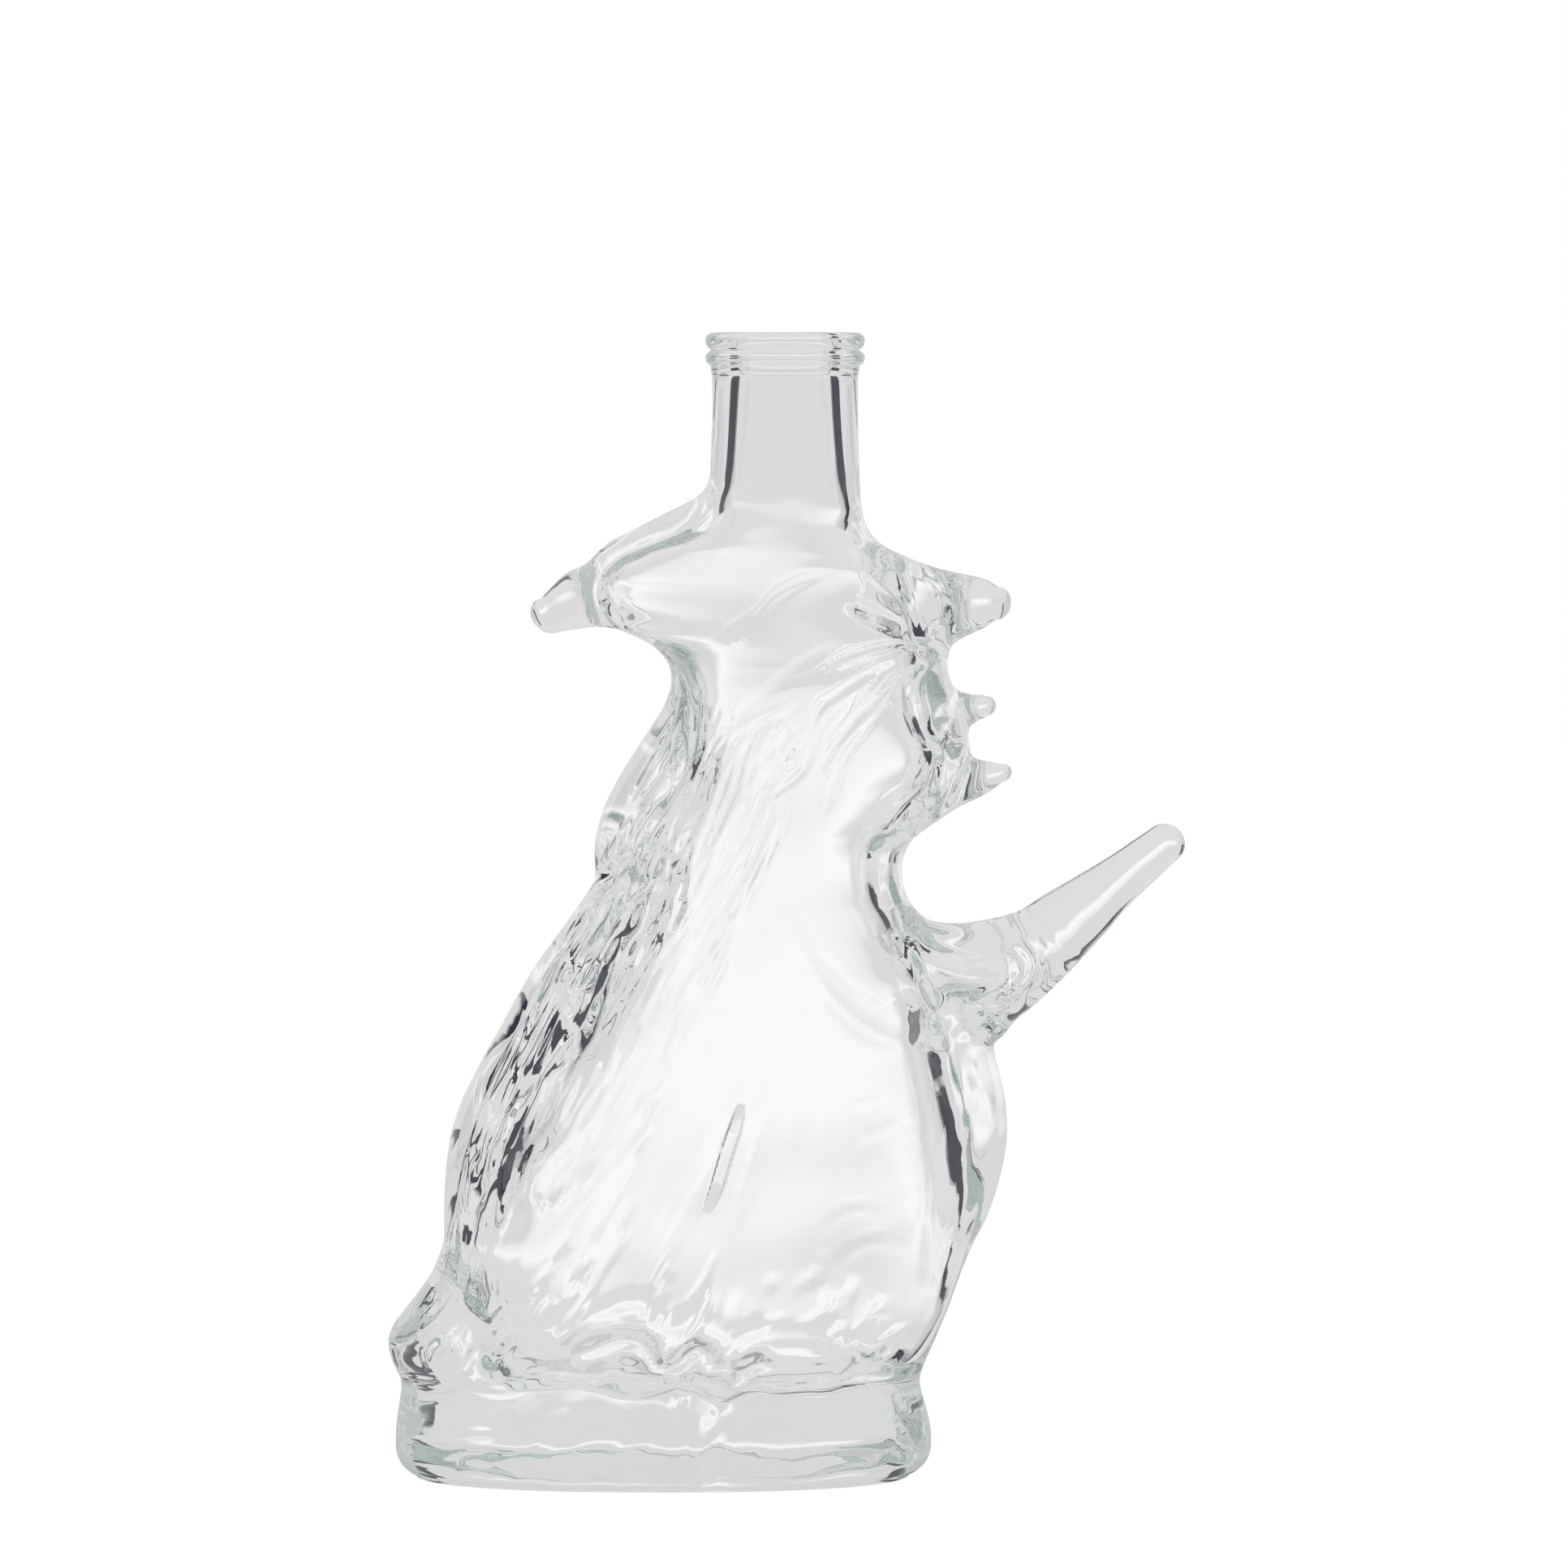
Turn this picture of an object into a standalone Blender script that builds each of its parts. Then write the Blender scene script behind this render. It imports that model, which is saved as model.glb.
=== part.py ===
"""Clear glass bottle in the shape of a folk-tale witch in profile: hat, long hair, skirt, arms and wand.

The real bottle is one moulded piece of glass. Here it is divided at its natural breaks into named solids
that meet across a narrow seam: the standing base, skirt, torso, head and hat as hollow rings, the turned neck
and mouth, and the solid tips that stand out of them. Metres, +Z up. X runs from the figure's back to its
front, and the origin lies on the standing plane under the neck's axis.
"""

import math
from typing import NamedTuple

import bmesh
import bpy
import numpy as np
from mathutils import Matrix, Vector

# Figure, measured from the neck's axis and the standing plane
FIGURE_HEIGHT = 0.184
BACK_REACH = 0.0738
FRONT_REACH = 0.0412
FIGURE_HALF_DEPTH = 0.029

# Base slab, the solid foot under the skirt
BASE_HEIGHT = 0.0175
BASE_BACK_REACH = 0.0722
BASE_FRONT_REACH = 0.0271
BASE_HALF_DEPTH = 0.028
BASE_HEEL_ROUND = 0.005
PUSH_UP_DEPTH = 0.0012
BEARING_WIDTH = 0.007

# Neck and mouth
NECK_ROOT_RADIUS = 0.0138
NECK_RADIUS = 0.01345
NECK_LENGTH = 0.0208
BORE_ROOT_RADIUS = 0.0105
BORE_RADIUS = 0.009
FINISH_HEIGHT = 0.0065
BEAD_PROJECTION = 0.00145
BEAD_HALF_HEIGHT = 0.0015
BEAD_SPACING = 0.003
MOUTH_ROUND = 0.0007

# Glass thickness of the walls, and the seam between two named solids
BACK_WALL = 0.010
FRONT_WALL = 0.009
SIDE_WALL = 0.0045
FLOOR_THICKNESS = 0.0163
FLOOR_ROUND = 0.010
SEAM_GAP = 0.0003

# Relief of the hair and of the skirt's folds, cut into the outer skin
LOCK_DEPTH = 0.0016
LOCK_COUNT = 12
FOLD_DEPTH = 0.0018
FOLD_COUNT = 12

# Solid tips, arms and wand: length out of the skin, then half-height and half-depth where it leaves the skin
HAT_BACK_TIP_LENGTH = 0.0095
HAT_BACK_TIP_HALF_HEIGHT = 0.0058
HAT_BACK_TIP_HALF_DEPTH = 0.0125
HAT_FRONT_TIP_LENGTH = 0.0087
HAT_FRONT_TIP_HALF_HEIGHT = 0.0062
HAT_FRONT_TIP_HALF_DEPTH = 0.013
NOSE_LENGTH = 0.0059
NOSE_HALF_HEIGHT = 0.0034
NOSE_HALF_DEPTH = 0.0038
CHIN_LENGTH = 0.0075
CHIN_HALF_HEIGHT = 0.0043
CHIN_HALF_DEPTH = 0.005
ARM_LENGTH = 0.0132
ARM_HALF_HEIGHT = 0.0112
ARM_HALF_DEPTH = 0.015
ARM_POCKET_LENGTH = 0.0065
ARM_POCKET_HALF_HEIGHT = 0.0035
ARM_POCKET_HALF_DEPTH = 0.005
WAND_LENGTH = 0.0323
WAND_RADIUS = 0.0074

# Resolution
AROUND = 48
CAVITY_AROUND = 36
LIMB_AROUND = 16
TURNED_STEPS = 36
BASE_ROW_PITCH = 0.0025
CAVITY_ROW_PITCH = 0.006
FOOT_STEPS = 5
TIP_STEPS = 4
TIP_SWING = math.radians(82)
SHARP_ANGLE = math.radians(50)

# How far every cutter runs past what it cuts
CUTTER_OVERRUN = 0.02

# Height, then reach to the back, to the front and half-depth. Height is a share of the way from the base's
# top to the neck's root, and the rest are shares of the figure's three reaches beyond the neck's root radius.
FIGURE_SHARES = (
    (0.000, 0.952, 0.400, 0.743),
    (0.022, 0.985, 0.445, 0.825),
    (0.045, 1.000, 0.510, 0.890),
    (0.063, 0.980, 0.553, 0.915),
    (0.081, 0.937, 0.600, 0.935),
    (0.117, 0.862, 0.676, 0.968),
    (0.153, 0.823, 0.766, 1.000),
    (0.180, 0.822, 0.855, 1.000),
    (0.207, 0.822, 0.914, 1.000),
    (0.243, 0.815, 0.971, 0.980),
    (0.279, 0.799, 1.000, 0.955),
    (0.315, 0.764, 0.985, 0.910),
    (0.351, 0.714, 0.932, 0.858),
    (0.387, 0.658, 0.885, 0.807),
    (0.423, 0.603, 0.813, 0.755),
    (0.459, 0.546, 0.704, 0.704),
    (0.495, 0.475, 0.560, 0.646),
    (0.513, 0.438, 0.450, 0.612),
    (0.532, 0.400, 0.330, 0.582),
    (0.559, 0.352, 0.280, 0.550),
    (0.580, 0.357, 0.283, 0.537),
    (0.604, 0.356, 0.344, 0.537),
    (0.622, 0.343, 0.520, 0.537),
    (0.640, 0.328, 0.690, 0.537),
    (0.676, 0.277, 0.759, 0.537),
    (0.712, 0.211, 0.741, 0.518),
    (0.748, 0.145, 0.700, 0.486),
    (0.772, 0.121, 0.620, 0.473),
    (0.796, 0.122, 0.584, 0.486),
    (0.820, 0.178, 0.615, 0.563),
    (0.832, 0.250, 0.650, 0.615),
    (0.844, 0.345, 0.686, 0.666),
    (0.868, 0.388, 0.704, 0.711),
    (0.886, 0.390, 0.690, 0.690),
    (0.899, 0.390, 0.606, 0.620),
    (0.909, 0.382, 0.442, 0.510),
    (0.920, 0.362, 0.234, 0.385),
    (0.931, 0.322, 0.124, 0.290),
    (0.947, 0.230, 0.047, 0.180),
    (0.965, 0.137, 0.018, 0.095),
    (0.983, 0.027, 0.004, 0.030),
    (1.000, 0.000, 0.000, 0.000),
)

# Height share as above, then the glass thickness at the back and front as shares of their walls.
WALL_SHARES = (
    (0.000, 1.60, 0.55),
    (0.051, 1.45, 0.50),
    (0.117, 0.88, 0.47),
    (0.153, 0.91, 0.55),
    (0.207, 1.15, 0.82),
    (0.279, 1.25, 1.12),
    (0.351, 1.15, 1.20),
    (0.423, 1.05, 1.20),
    (0.495, 0.98, 0.95),
    (0.559, 0.78, 0.55),
    (0.604, 0.76, 0.62),
    (0.640, 0.98, 0.92),
    (0.676, 1.12, 0.82),
    (0.712, 0.92, 0.84),
    (0.748, 0.62, 1.00),
    (0.796, 0.40, 0.62),
    (0.844, 0.62, 1.02),
    (0.868, 0.46, 1.28),
    (0.892, 0.44, 1.30),
    (0.916, 0.66, 0.90),
    (0.940, 0.82, 0.50),
    (0.964, 0.76, 0.46),
    (0.982, 0.40, 0.42),
)

# The base slab: height as a share of its own, then how far each side stands out, as a share of the way from
# the waist under the skirt to the base's own reach.
BASE_SHARES = (
    (0.00, 0.70),
    (0.20, 0.92),
    (0.42, 1.00),
    (0.62, 0.78),
    (0.82, 0.33),
    (1.00, 0.00),
)

# Heights on the figure's scale between which the hair and the hem's folds are cut: where they start, reach
# full depth, begin to fade and end. Hair covers this share of the way round from the back to the front.
HAIR_SPAN_SHARES = (0.13, 0.26, 0.66, 0.78)
HEM_SPAN_SHARES = (-0.10, 0.00, 0.06, 0.30)
HAIR_FRONT_SHARE = 0.58

# From this height on, the hollow draws in to the neck's bore.
HOLLOW_SHOULDER_SHARE = 0.90

# Heights where the hollow figure is divided into its rings, and the rings' names from the base up
RING_SPLIT_SHARES = (0.0, 0.363, 0.568, 0.808, 1.0)
RINGS = ("skirt", "torso", "head", "hat")

# Heights where each limb leaves the skin
HAT_BACK_TIP_SHARE = 0.875
HAT_FRONT_TIP_SHARE = 0.8625
NOSE_SHARE = 0.7455
CHIN_SHARE = 0.666
ARM_SHARE = 0.4414

# Limb outlines, as sections from inside the figure to the tip. Each row is one section: its upper point, its
# lower point and its half-depth. A point is a place outward from the skin, as a share of the limb's length,
# and a height above the place where the limb leaves the skin, as a share of its half-height.
HAT_BACK_TIP_SHARES = (
    (-0.52, 1.20, -0.78, -0.81, 1.00),
    (0.02, 1.03, -0.42, -1.03, 0.98),
    (0.33, 0.69, -0.11, -1.07, 0.88),
    (0.60, 0.22, 0.24, -1.15, 0.72),
    (0.81, -0.15, 0.56, -1.25, 0.52),
)
HAT_FRONT_TIP_SHARES = (
    (-0.82, 0.79, -0.82, -0.98, 1.00),
    (-0.30, 1.05, -0.29, -1.38, 0.97),
    (0.21, 0.95, 0.01, -0.98, 0.84),
    (0.51, 0.79, 0.39, -0.71, 0.70),
    (0.73, 0.64, 0.68, -0.50, 0.52),
)
NOSE_SHARES = (
    (-0.60, 1.38, -0.60, -0.91, 1.15),
    (-0.09, 1.15, 0.05, -1.09, 1.05),
    (0.31, 0.94, 0.36, -0.74, 0.84),
    (0.67, 0.76, 0.70, -0.29, 0.58),
)
CHIN_SHARES = (
    (-0.63, 0.72, -0.63, -1.14, 1.00),
    (-0.05, 1.14, -0.16, -1.05, 1.00),
    (0.19, 1.02, 0.17, -0.84, 0.88),
    (0.46, 0.88, 0.48, -0.42, 0.68),
    (0.74, 0.77, 0.76, -0.02, 0.46),
)
ARM_SHARES = (
    (-0.60, 0.93, -0.41, -0.89, 0.93),
    (-0.30, 0.98, 0.00, -1.03, 1.00),
    (0.01, 1.03, 0.32, -0.97, 0.97),
    (0.27, 1.08, 0.54, -0.64, 0.86),
    (0.50, 1.15, 0.92, -0.295, 0.72),
    (0.648, 1.21, 1.352, 0.183, 0.62),
)
ARM_POCKET_SHARES = (
    (-1.60, 1.10, -1.60, -1.45, 1.60),
    (-0.70, 1.25, -0.70, -1.30, 1.30),
    (0.00, 1.10, 0.00, -0.95, 1.00),
    (0.50, 0.95, 0.50, -0.60, 0.70),
)
WAND_SHARES = (
    (0.00, 1.00, 0.00, -1.00, 1.00),
    (0.15, 0.91, 0.15, -0.89, 0.90),
    (0.31, 0.81, 0.31, -0.77, 0.79),
    (0.46, 0.71, 0.46, -0.65, 0.68),
    (0.61, 0.63, 0.61, -0.57, 0.60),
    (0.76, 0.58, 0.76, -0.52, 0.55),
    (0.885, 0.53, 0.885, -0.48, 0.505),
)


class Limb(NamedTuple):
    """A form that stands out of the skin in the profile plane."""

    skin_share: float
    length: float
    half_height: float
    half_depth: float
    shares: tuple
    tip_share: float = 0.0  # the round tip's height, as a share of the half-height
    on_back: bool = False


HAT_BACK_TIP = Limb(
    skin_share=HAT_BACK_TIP_SHARE, length=HAT_BACK_TIP_LENGTH,
    half_height=HAT_BACK_TIP_HALF_HEIGHT, half_depth=HAT_BACK_TIP_HALF_DEPTH,
    shares=HAT_BACK_TIP_SHARES, tip_share=-0.79, on_back=True,
)
HAT_FRONT_TIP = Limb(
    skin_share=HAT_FRONT_TIP_SHARE, length=HAT_FRONT_TIP_LENGTH,
    half_height=HAT_FRONT_TIP_HALF_HEIGHT, half_depth=HAT_FRONT_TIP_HALF_DEPTH,
    shares=HAT_FRONT_TIP_SHARES, tip_share=0.08,
)
NOSE = Limb(
    skin_share=NOSE_SHARE, length=NOSE_LENGTH,
    half_height=NOSE_HALF_HEIGHT, half_depth=NOSE_HALF_DEPTH,
    shares=NOSE_SHARES, tip_share=0.29,
)
CHIN = Limb(
    skin_share=CHIN_SHARE, length=CHIN_LENGTH,
    half_height=CHIN_HALF_HEIGHT, half_depth=CHIN_HALF_DEPTH,
    shares=CHIN_SHARES, tip_share=0.44,
)
ARMS = Limb(
    skin_share=ARM_SHARE, length=ARM_LENGTH,
    half_height=ARM_HALF_HEIGHT, half_depth=ARM_HALF_DEPTH,
    shares=ARM_SHARES,
)
ARM_POCKET = Limb(
    skin_share=ARM_SHARE, length=ARM_POCKET_LENGTH,
    half_height=ARM_POCKET_HALF_HEIGHT, half_depth=ARM_POCKET_HALF_DEPTH,
    shares=ARM_POCKET_SHARES, tip_share=0.15,
)
WAND = Limb(
    skin_share=ARM_SHARE, length=WAND_LENGTH,
    half_height=WAND_RADIUS, half_depth=WAND_RADIUS,
    shares=WAND_SHARES,
)
SEATED_TIPS = {"hat_back_tip": HAT_BACK_TIP, "hat_front_tip": HAT_FRONT_TIP, "nose": NOSE, "chin": CHIN}


def clear_scene():
    """Empties the scene, so that the script gives the same result wherever it starts."""
    for old in list(bpy.data.objects):
        bpy.data.objects.remove(old)


def new_collection(name):
    made = bpy.data.collections.new(name)
    bpy.context.scene.collection.children.link(made)
    return made


def glass_material(name):
    """Clear flint glass with the faint grey-green of a thick bottle."""
    material = bpy.data.materials.new(name)
    material.use_nodes = True
    shader = material.node_tree.nodes["Principled BSDF"]
    shader.inputs["Base Color"].default_value = (0.93, 0.95, 0.94, 1.0)
    shader.inputs["Roughness"].default_value = 0.02
    shader.inputs["Metallic"].default_value = 0.0
    shader.inputs["IOR"].default_value = 1.5
    shader.inputs["Transmission Weight"].default_value = 1.0
    return material


def smooth_row(table, at):
    """The table's row at one value of its first column, on a smooth cubic through its rows."""
    rows = np.array(table)
    place = rows[:, 0]
    i = int(np.clip(np.searchsorted(place, at) - 1, 0, len(place) - 2))
    span = place[i + 1] - place[i]
    t = (at - place[i]) / span
    before, after = max(i - 1, 0), min(i + 2, len(place) - 1)
    slope_in = (rows[i + 1] - rows[before]) / (place[i + 1] - place[before]) * span
    slope_out = (rows[after] - rows[i]) / (place[after] - place[i]) * span
    start_weight, start_slope_weight = 2 * t**3 - 3 * t**2 + 1, t**3 - 2 * t**2 + t
    end_weight, end_slope_weight = 3 * t**2 - 2 * t**3, t**3 - t**2
    ends = start_weight * rows[i] + end_weight * rows[i + 1]
    return ends + start_slope_weight * slope_in + end_slope_weight * slope_out


def height_of(share):
    return BASE_HEIGHT + share * (FIGURE_HEIGHT - BASE_HEIGHT)


def share_of(height):
    return (height - BASE_HEIGHT) / (FIGURE_HEIGHT - BASE_HEIGHT)


def evenly(low, high, pitch):
    """Heights from low to high, about a pitch apart."""
    return list(np.linspace(low, high, max(2, round((high - low) / pitch)) + 1))


def figure_reaches(share):
    """Reach to the back, to the front and half-depth of the outer skin at a height share."""
    _, back, front, depth = smooth_row(FIGURE_SHARES, share)
    return (
        NECK_ROOT_RADIUS + back * (BACK_REACH - NECK_ROOT_RADIUS),
        NECK_ROOT_RADIUS + front * (FRONT_REACH - NECK_ROOT_RADIUS),
        NECK_ROOT_RADIUS + depth * (FIGURE_HALF_DEPTH - NECK_ROOT_RADIUS),
    )


def squareness(share):
    """Exponent of the oval section: a circle at the neck, and fuller ovals towards the base."""
    fullness_at_base_share = 0.35
    return 2.0 + fullness_at_base_share * (1.0 - min(max(share, 0.0), 1.0))


def oval_ring(reaches, height, exponent, around=AROUND, relief=None):
    """One closed horizontal section, from the front round by +Y to the back and home by -Y."""
    back, front, depth = reaches
    turn = np.arange(around) * 2 * math.pi / around
    middle, half = (front - back) / 2, (front + back) / 2
    cos, sin = np.cos(turn), np.sin(turn)
    x = half * np.sign(cos) * np.abs(cos) ** (2 / exponent)
    y = depth * np.sign(sin) * np.abs(sin) ** (2 / exponent)
    if relief is not None:
        keep = 1 - relief(turn) / np.hypot(x, y)
        x, y = x * keep, y * keep
    return np.stack([x + middle, y, np.full(around, height)], 1)


def window(value, start, full, fade, end):
    """0 outside start to end and 1 between full and fade, with straight ramps."""
    return float(np.clip(min((value - start) / (full - start), (end - value) / (end - fade)), 0.0, 1.0))


def skin_relief(share):
    """Grooves between locks of hair and between folds at the hem. They vanish in the profile plane."""
    lock = LOCK_DEPTH * window(share, *HAIR_SPAN_SHARES)
    fold = FOLD_DEPTH * window(share, *HEM_SPAN_SHARES)

    def relief(turn):
        from_back = np.abs(turn - math.pi) / math.pi
        on_hair = np.clip(2 * (1 - from_back / HAIR_FRONT_SHARE), 0.0, 1.0)
        locks = lock * on_hair * (1 - np.cos(LOCK_COUNT * turn)) / 2
        folds = fold * (1 - np.cos(FOLD_COUNT * turn)) / 2
        return locks + folds

    return relief


def rounded_inset(height, radius):
    """How far a wall stands in at a height above its foot, where a quarter circle rounds the foot."""
    below = max(0.0, 1.0 - height / radius)
    return radius * (1.0 - math.sqrt(1.0 - below**2))


def round_foot(radius):
    """Heights up such a rounded foot, closer together where it turns most, without its last."""
    return [radius * (1 - math.cos(step / FOOT_STEPS * math.pi / 2)) for step in range(FOOT_STEPS)]


def mesh_from_rings(name, rings):
    """A closed skin over rings of equal count, capped at both ends."""
    shell = bmesh.new()
    rows = [[shell.verts.new(point) for point in ring] for ring in rings]
    count = len(rows[0])
    for lower, upper in zip(rows, rows[1:]):
        for i in range(count):
            j = (i + 1) % count
            shell.faces.new((lower[i], lower[j], upper[j], upper[i]))
    shell.faces.new(list(reversed(rows[0])))
    shell.faces.new(rows[-1])
    bmesh.ops.recalc_face_normals(shell, faces=shell.faces[:])
    mesh = bpy.data.meshes.new(name)
    shell.to_mesh(mesh)
    shell.free()
    mesh.shade_smooth()
    mesh.set_sharp_from_angle(angle=SHARP_ANGLE)
    return mesh


def figure_mesh():
    """The whole figure's outer skin, solid, from the base's top to the neck's root."""
    rings = []
    for share, *_ in FIGURE_SHARES:
        reaches, relief = figure_reaches(share), skin_relief(share)
        rings.append(oval_ring(reaches, height_of(share), squareness(share), relief=relief))
    return mesh_from_rings("figure_skin", rings)


def base_reaches(height):
    """The foot's sides: it swells out under the skirt's waist, and its heel rounds to the standing face."""
    out = smooth_row(BASE_SHARES, height / BASE_HEIGHT)[1]
    inset = rounded_inset(height, BASE_HEEL_ROUND)
    reach = (BASE_BACK_REACH, BASE_FRONT_REACH, BASE_HALF_DEPTH)
    return [waist + out * (full - waist) - inset for waist, full in zip(figure_reaches(0.0), reach)]


def base_mesh():
    heights = round_foot(BASE_HEEL_ROUND) + evenly(BASE_HEEL_ROUND, BASE_HEIGHT, BASE_ROW_PITCH)
    return mesh_from_rings("base", [oval_ring(base_reaches(h), h, squareness(0.0)) for h in heights])


def push_up_mesh():
    """The shallow hollow under the base, inside the ring that the bottle stands on."""
    edge = [side - BEARING_WIDTH for side in base_reaches(0.0)]
    rings = [oval_ring(edge, -CUTTER_OVERRUN, squareness(0.0))]
    for step in range(FOOT_STEPS):
        swing = step / (FOOT_STEPS - 1) * math.pi / 2
        sides = [side - BEARING_WIDTH * (1 - math.cos(swing)) for side in edge]
        rings.append(oval_ring(sides, PUSH_UP_DEPTH * math.sin(swing), squareness(0.0)))
    return mesh_from_rings("push_up", rings)


def cavity_reaches(height):
    """The inside of the blown walls: the outer reaches less the glass, rounded in at the floor."""
    share = share_of(height)
    walled_share = min(max(share, WALL_SHARES[0][0]), WALL_SHARES[-1][0])
    back, front, depth = figure_reaches(max(share, 0.0))
    _, back_wall, front_wall = smooth_row(WALL_SHARES, walled_share)
    inset = rounded_inset(height - FLOOR_THICKNESS, FLOOR_ROUND)
    walls = (back_wall * BACK_WALL, front_wall * FRONT_WALL, SIDE_WALL)
    inside = [reach - wall - inset for reach, wall in zip((back, front, depth), walls)]
    neckward = float(np.clip((share - HOLLOW_SHOULDER_SHARE) / (1 - HOLLOW_SHOULDER_SHARE), 0.0, 1.0))
    return [reach + neckward * (BORE_ROOT_RADIUS - reach) for reach in inside]


def cavity_mesh():
    """The room for the liquid, from the rounded floor up to the bore's circle at the neck's root."""
    heights = [FLOOR_THICKNESS + rise for rise in round_foot(FLOOR_ROUND)]
    heights += evenly(FLOOR_THICKNESS + FLOOR_ROUND, FIGURE_HEIGHT, CAVITY_ROW_PITCH)
    rings = [oval_ring(cavity_reaches(h), h, squareness(share_of(h)), CAVITY_AROUND) for h in heights]
    bore = [BORE_ROOT_RADIUS] * 3
    rings.append(oval_ring(bore, FIGURE_HEIGHT + CUTTER_OVERRUN, squareness(1.0), CAVITY_AROUND))
    return mesh_from_rings("cavity", rings)


def skin_point(limb):
    """Where the limb leaves the figure's skin, in the profile plane."""
    back, front, _ = figure_reaches(limb.skin_share)
    return Vector((-back if limb.on_back else front, 0.0, height_of(limb.skin_share)))


def limb_point(limb, root, pitch, outward, height):
    """A point of the limb's outline in the profile plane, about its root and pitched up by an angle."""
    away = -1.0 if limb.on_back else 1.0
    forward = Vector((away * math.cos(pitch), 0.0, math.sin(pitch)))
    upward = Vector((-away * math.sin(pitch), 0.0, math.cos(pitch)))
    return root + forward * (outward * limb.length) + upward * (height * limb.half_height)


def limb_mesh(name, limb, root, pitch=0.0, flat_end=False):
    """Oval sections along the limb, each across its own upper and lower point, to a round or a flat end."""
    stations = []
    for upper_out, upper_height, lower_out, lower_height, depth in limb.shares:
        upper = limb_point(limb, root, pitch, upper_out, upper_height)
        lower = limb_point(limb, root, pitch, lower_out, lower_height)
        stations.append(((upper + lower) / 2, (upper - lower) / 2, depth * limb.half_depth))
    if not flat_end:
        centre, across, depth = stations[-1]
        tip = limb_point(limb, root, pitch, 1.0, limb.tip_share)
        for step in range(1, TIP_STEPS + 1):
            swing = step / TIP_STEPS * TIP_SWING
            reach, width = math.sin(swing), math.cos(swing)
            stations.append((centre + (tip - centre) * reach, across * width, depth * width))
    turns = [2 * math.pi * k / LIMB_AROUND for k in range(LIMB_AROUND)]
    rings = []
    for centre, across, depth in stations:
        sideways = Vector((0.0, depth, 0.0))
        rings.append([centre + across * math.sin(t) + sideways * math.cos(t) for t in turns])
    return mesh_from_rings(name, rings)


def hand_end(arms, root):
    """The middle of the hands' flat end and the direction that it faces, where the wand is seated."""
    upper_out, upper_height, lower_out, lower_height, _ = arms.shares[-1]
    upper = limb_point(arms, root, 0.0, upper_out, upper_height)
    lower = limb_point(arms, root, 0.0, lower_out, lower_height)
    across = (upper - lower).normalized()
    return (upper + lower) / 2, Vector((across.z, 0.0, -across.x))


def turned_object(name, profile, collection):
    """A turned piece, swept round the neck's axis from a profile down the outer side and up the bore."""
    outline = bmesh.new()
    points = [outline.verts.new((radius, 0.0, height)) for radius, height in profile]
    for a, b in zip(points, points[1:] + points[:1]):
        outline.edges.new((a, b))
    mesh = bpy.data.meshes.new(name)
    outline.to_mesh(mesh)
    outline.free()
    piece = bpy.data.objects.new(name, mesh)
    collection.objects.link(piece)
    sweep = piece.modifiers.new("turn", "SCREW")
    sweep.angle = 2 * math.pi
    sweep.steps = TURNED_STEPS
    sweep.render_steps = TURNED_STEPS
    sweep.use_merge_vertices = True
    sweep.merge_threshold = SEAM_GAP / 30
    return piece


def bore_at(height):
    """The bore's radius: it narrows evenly up to the foot of the mouth finish and is parallel above it."""
    climb = min(1.0, (height - FIGURE_HEIGHT) / NECK_LENGTH)
    return BORE_ROOT_RADIUS + climb * (BORE_RADIUS - BORE_ROOT_RADIUS)


def neck_profile():
    """Plain tube with a slight draught, from its seam on the hat to its seam under the mouth finish."""
    low = FIGURE_HEIGHT + SEAM_GAP / 2
    high = FIGURE_HEIGHT + NECK_LENGTH - SEAM_GAP / 2
    middle = (low + high) / 2
    outer = [(NECK_RADIUS, high), (NECK_RADIUS, middle), (NECK_ROOT_RADIUS, low)]
    return outer + [(bore_at(height), height) for height in (low, middle, high)]


def arc(centre, radii, start, end, steps):
    """Points on an elliptical arc, in degrees from the outward direction towards up."""
    angles = np.radians(np.linspace(start, end, steps))
    return [(centre[0] + radii[0] * math.cos(a), centre[1] + radii[1] * math.sin(a)) for a in angles]


def mouth_profile():
    """Cork mouth with two round beads, a flat sealing land and a rounded entry to the bore."""
    low = FIGURE_HEIGHT + NECK_LENGTH + SEAM_GAP / 2
    high = FIGURE_HEIGHT + NECK_LENGTH + FINISH_HEIGHT
    lower_bead = low + BEAD_HALF_HEIGHT
    upper_bead = lower_bead + BEAD_SPACING
    bead = (BEAD_PROJECTION, BEAD_HALF_HEIGHT)
    rounding = (MOUTH_ROUND, MOUTH_ROUND)
    profile = arc((NECK_RADIUS, high - MOUTH_ROUND), rounding, 90, 15, 4)
    profile += arc((NECK_RADIUS, upper_bead), bead, 55, -55, 6)
    profile += arc((NECK_RADIUS, lower_bead), bead, 55, -90, 7)
    profile += [(bore_at(low), low)]
    profile += arc((BORE_RADIUS + MOUTH_ROUND, high - MOUTH_ROUND), rounding, 180, 90, 4)
    return profile


def boolean(piece, cutter, operation):
    modifier = piece.modifiers.new(f"{operation.lower()} {cutter.name}", "BOOLEAN")
    modifier.operation = operation
    modifier.solver = "EXACT"
    modifier.object = cutter


def as_cutter(name, mesh, collection):
    """A shape that only cuts others: it isn't part of the bottle."""
    cutter = bpy.data.objects.new(name, mesh)
    collection.objects.link(cutter)
    cutter.hide_render = True
    cutter.display_type = "WIRE"
    return cutter


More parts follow.
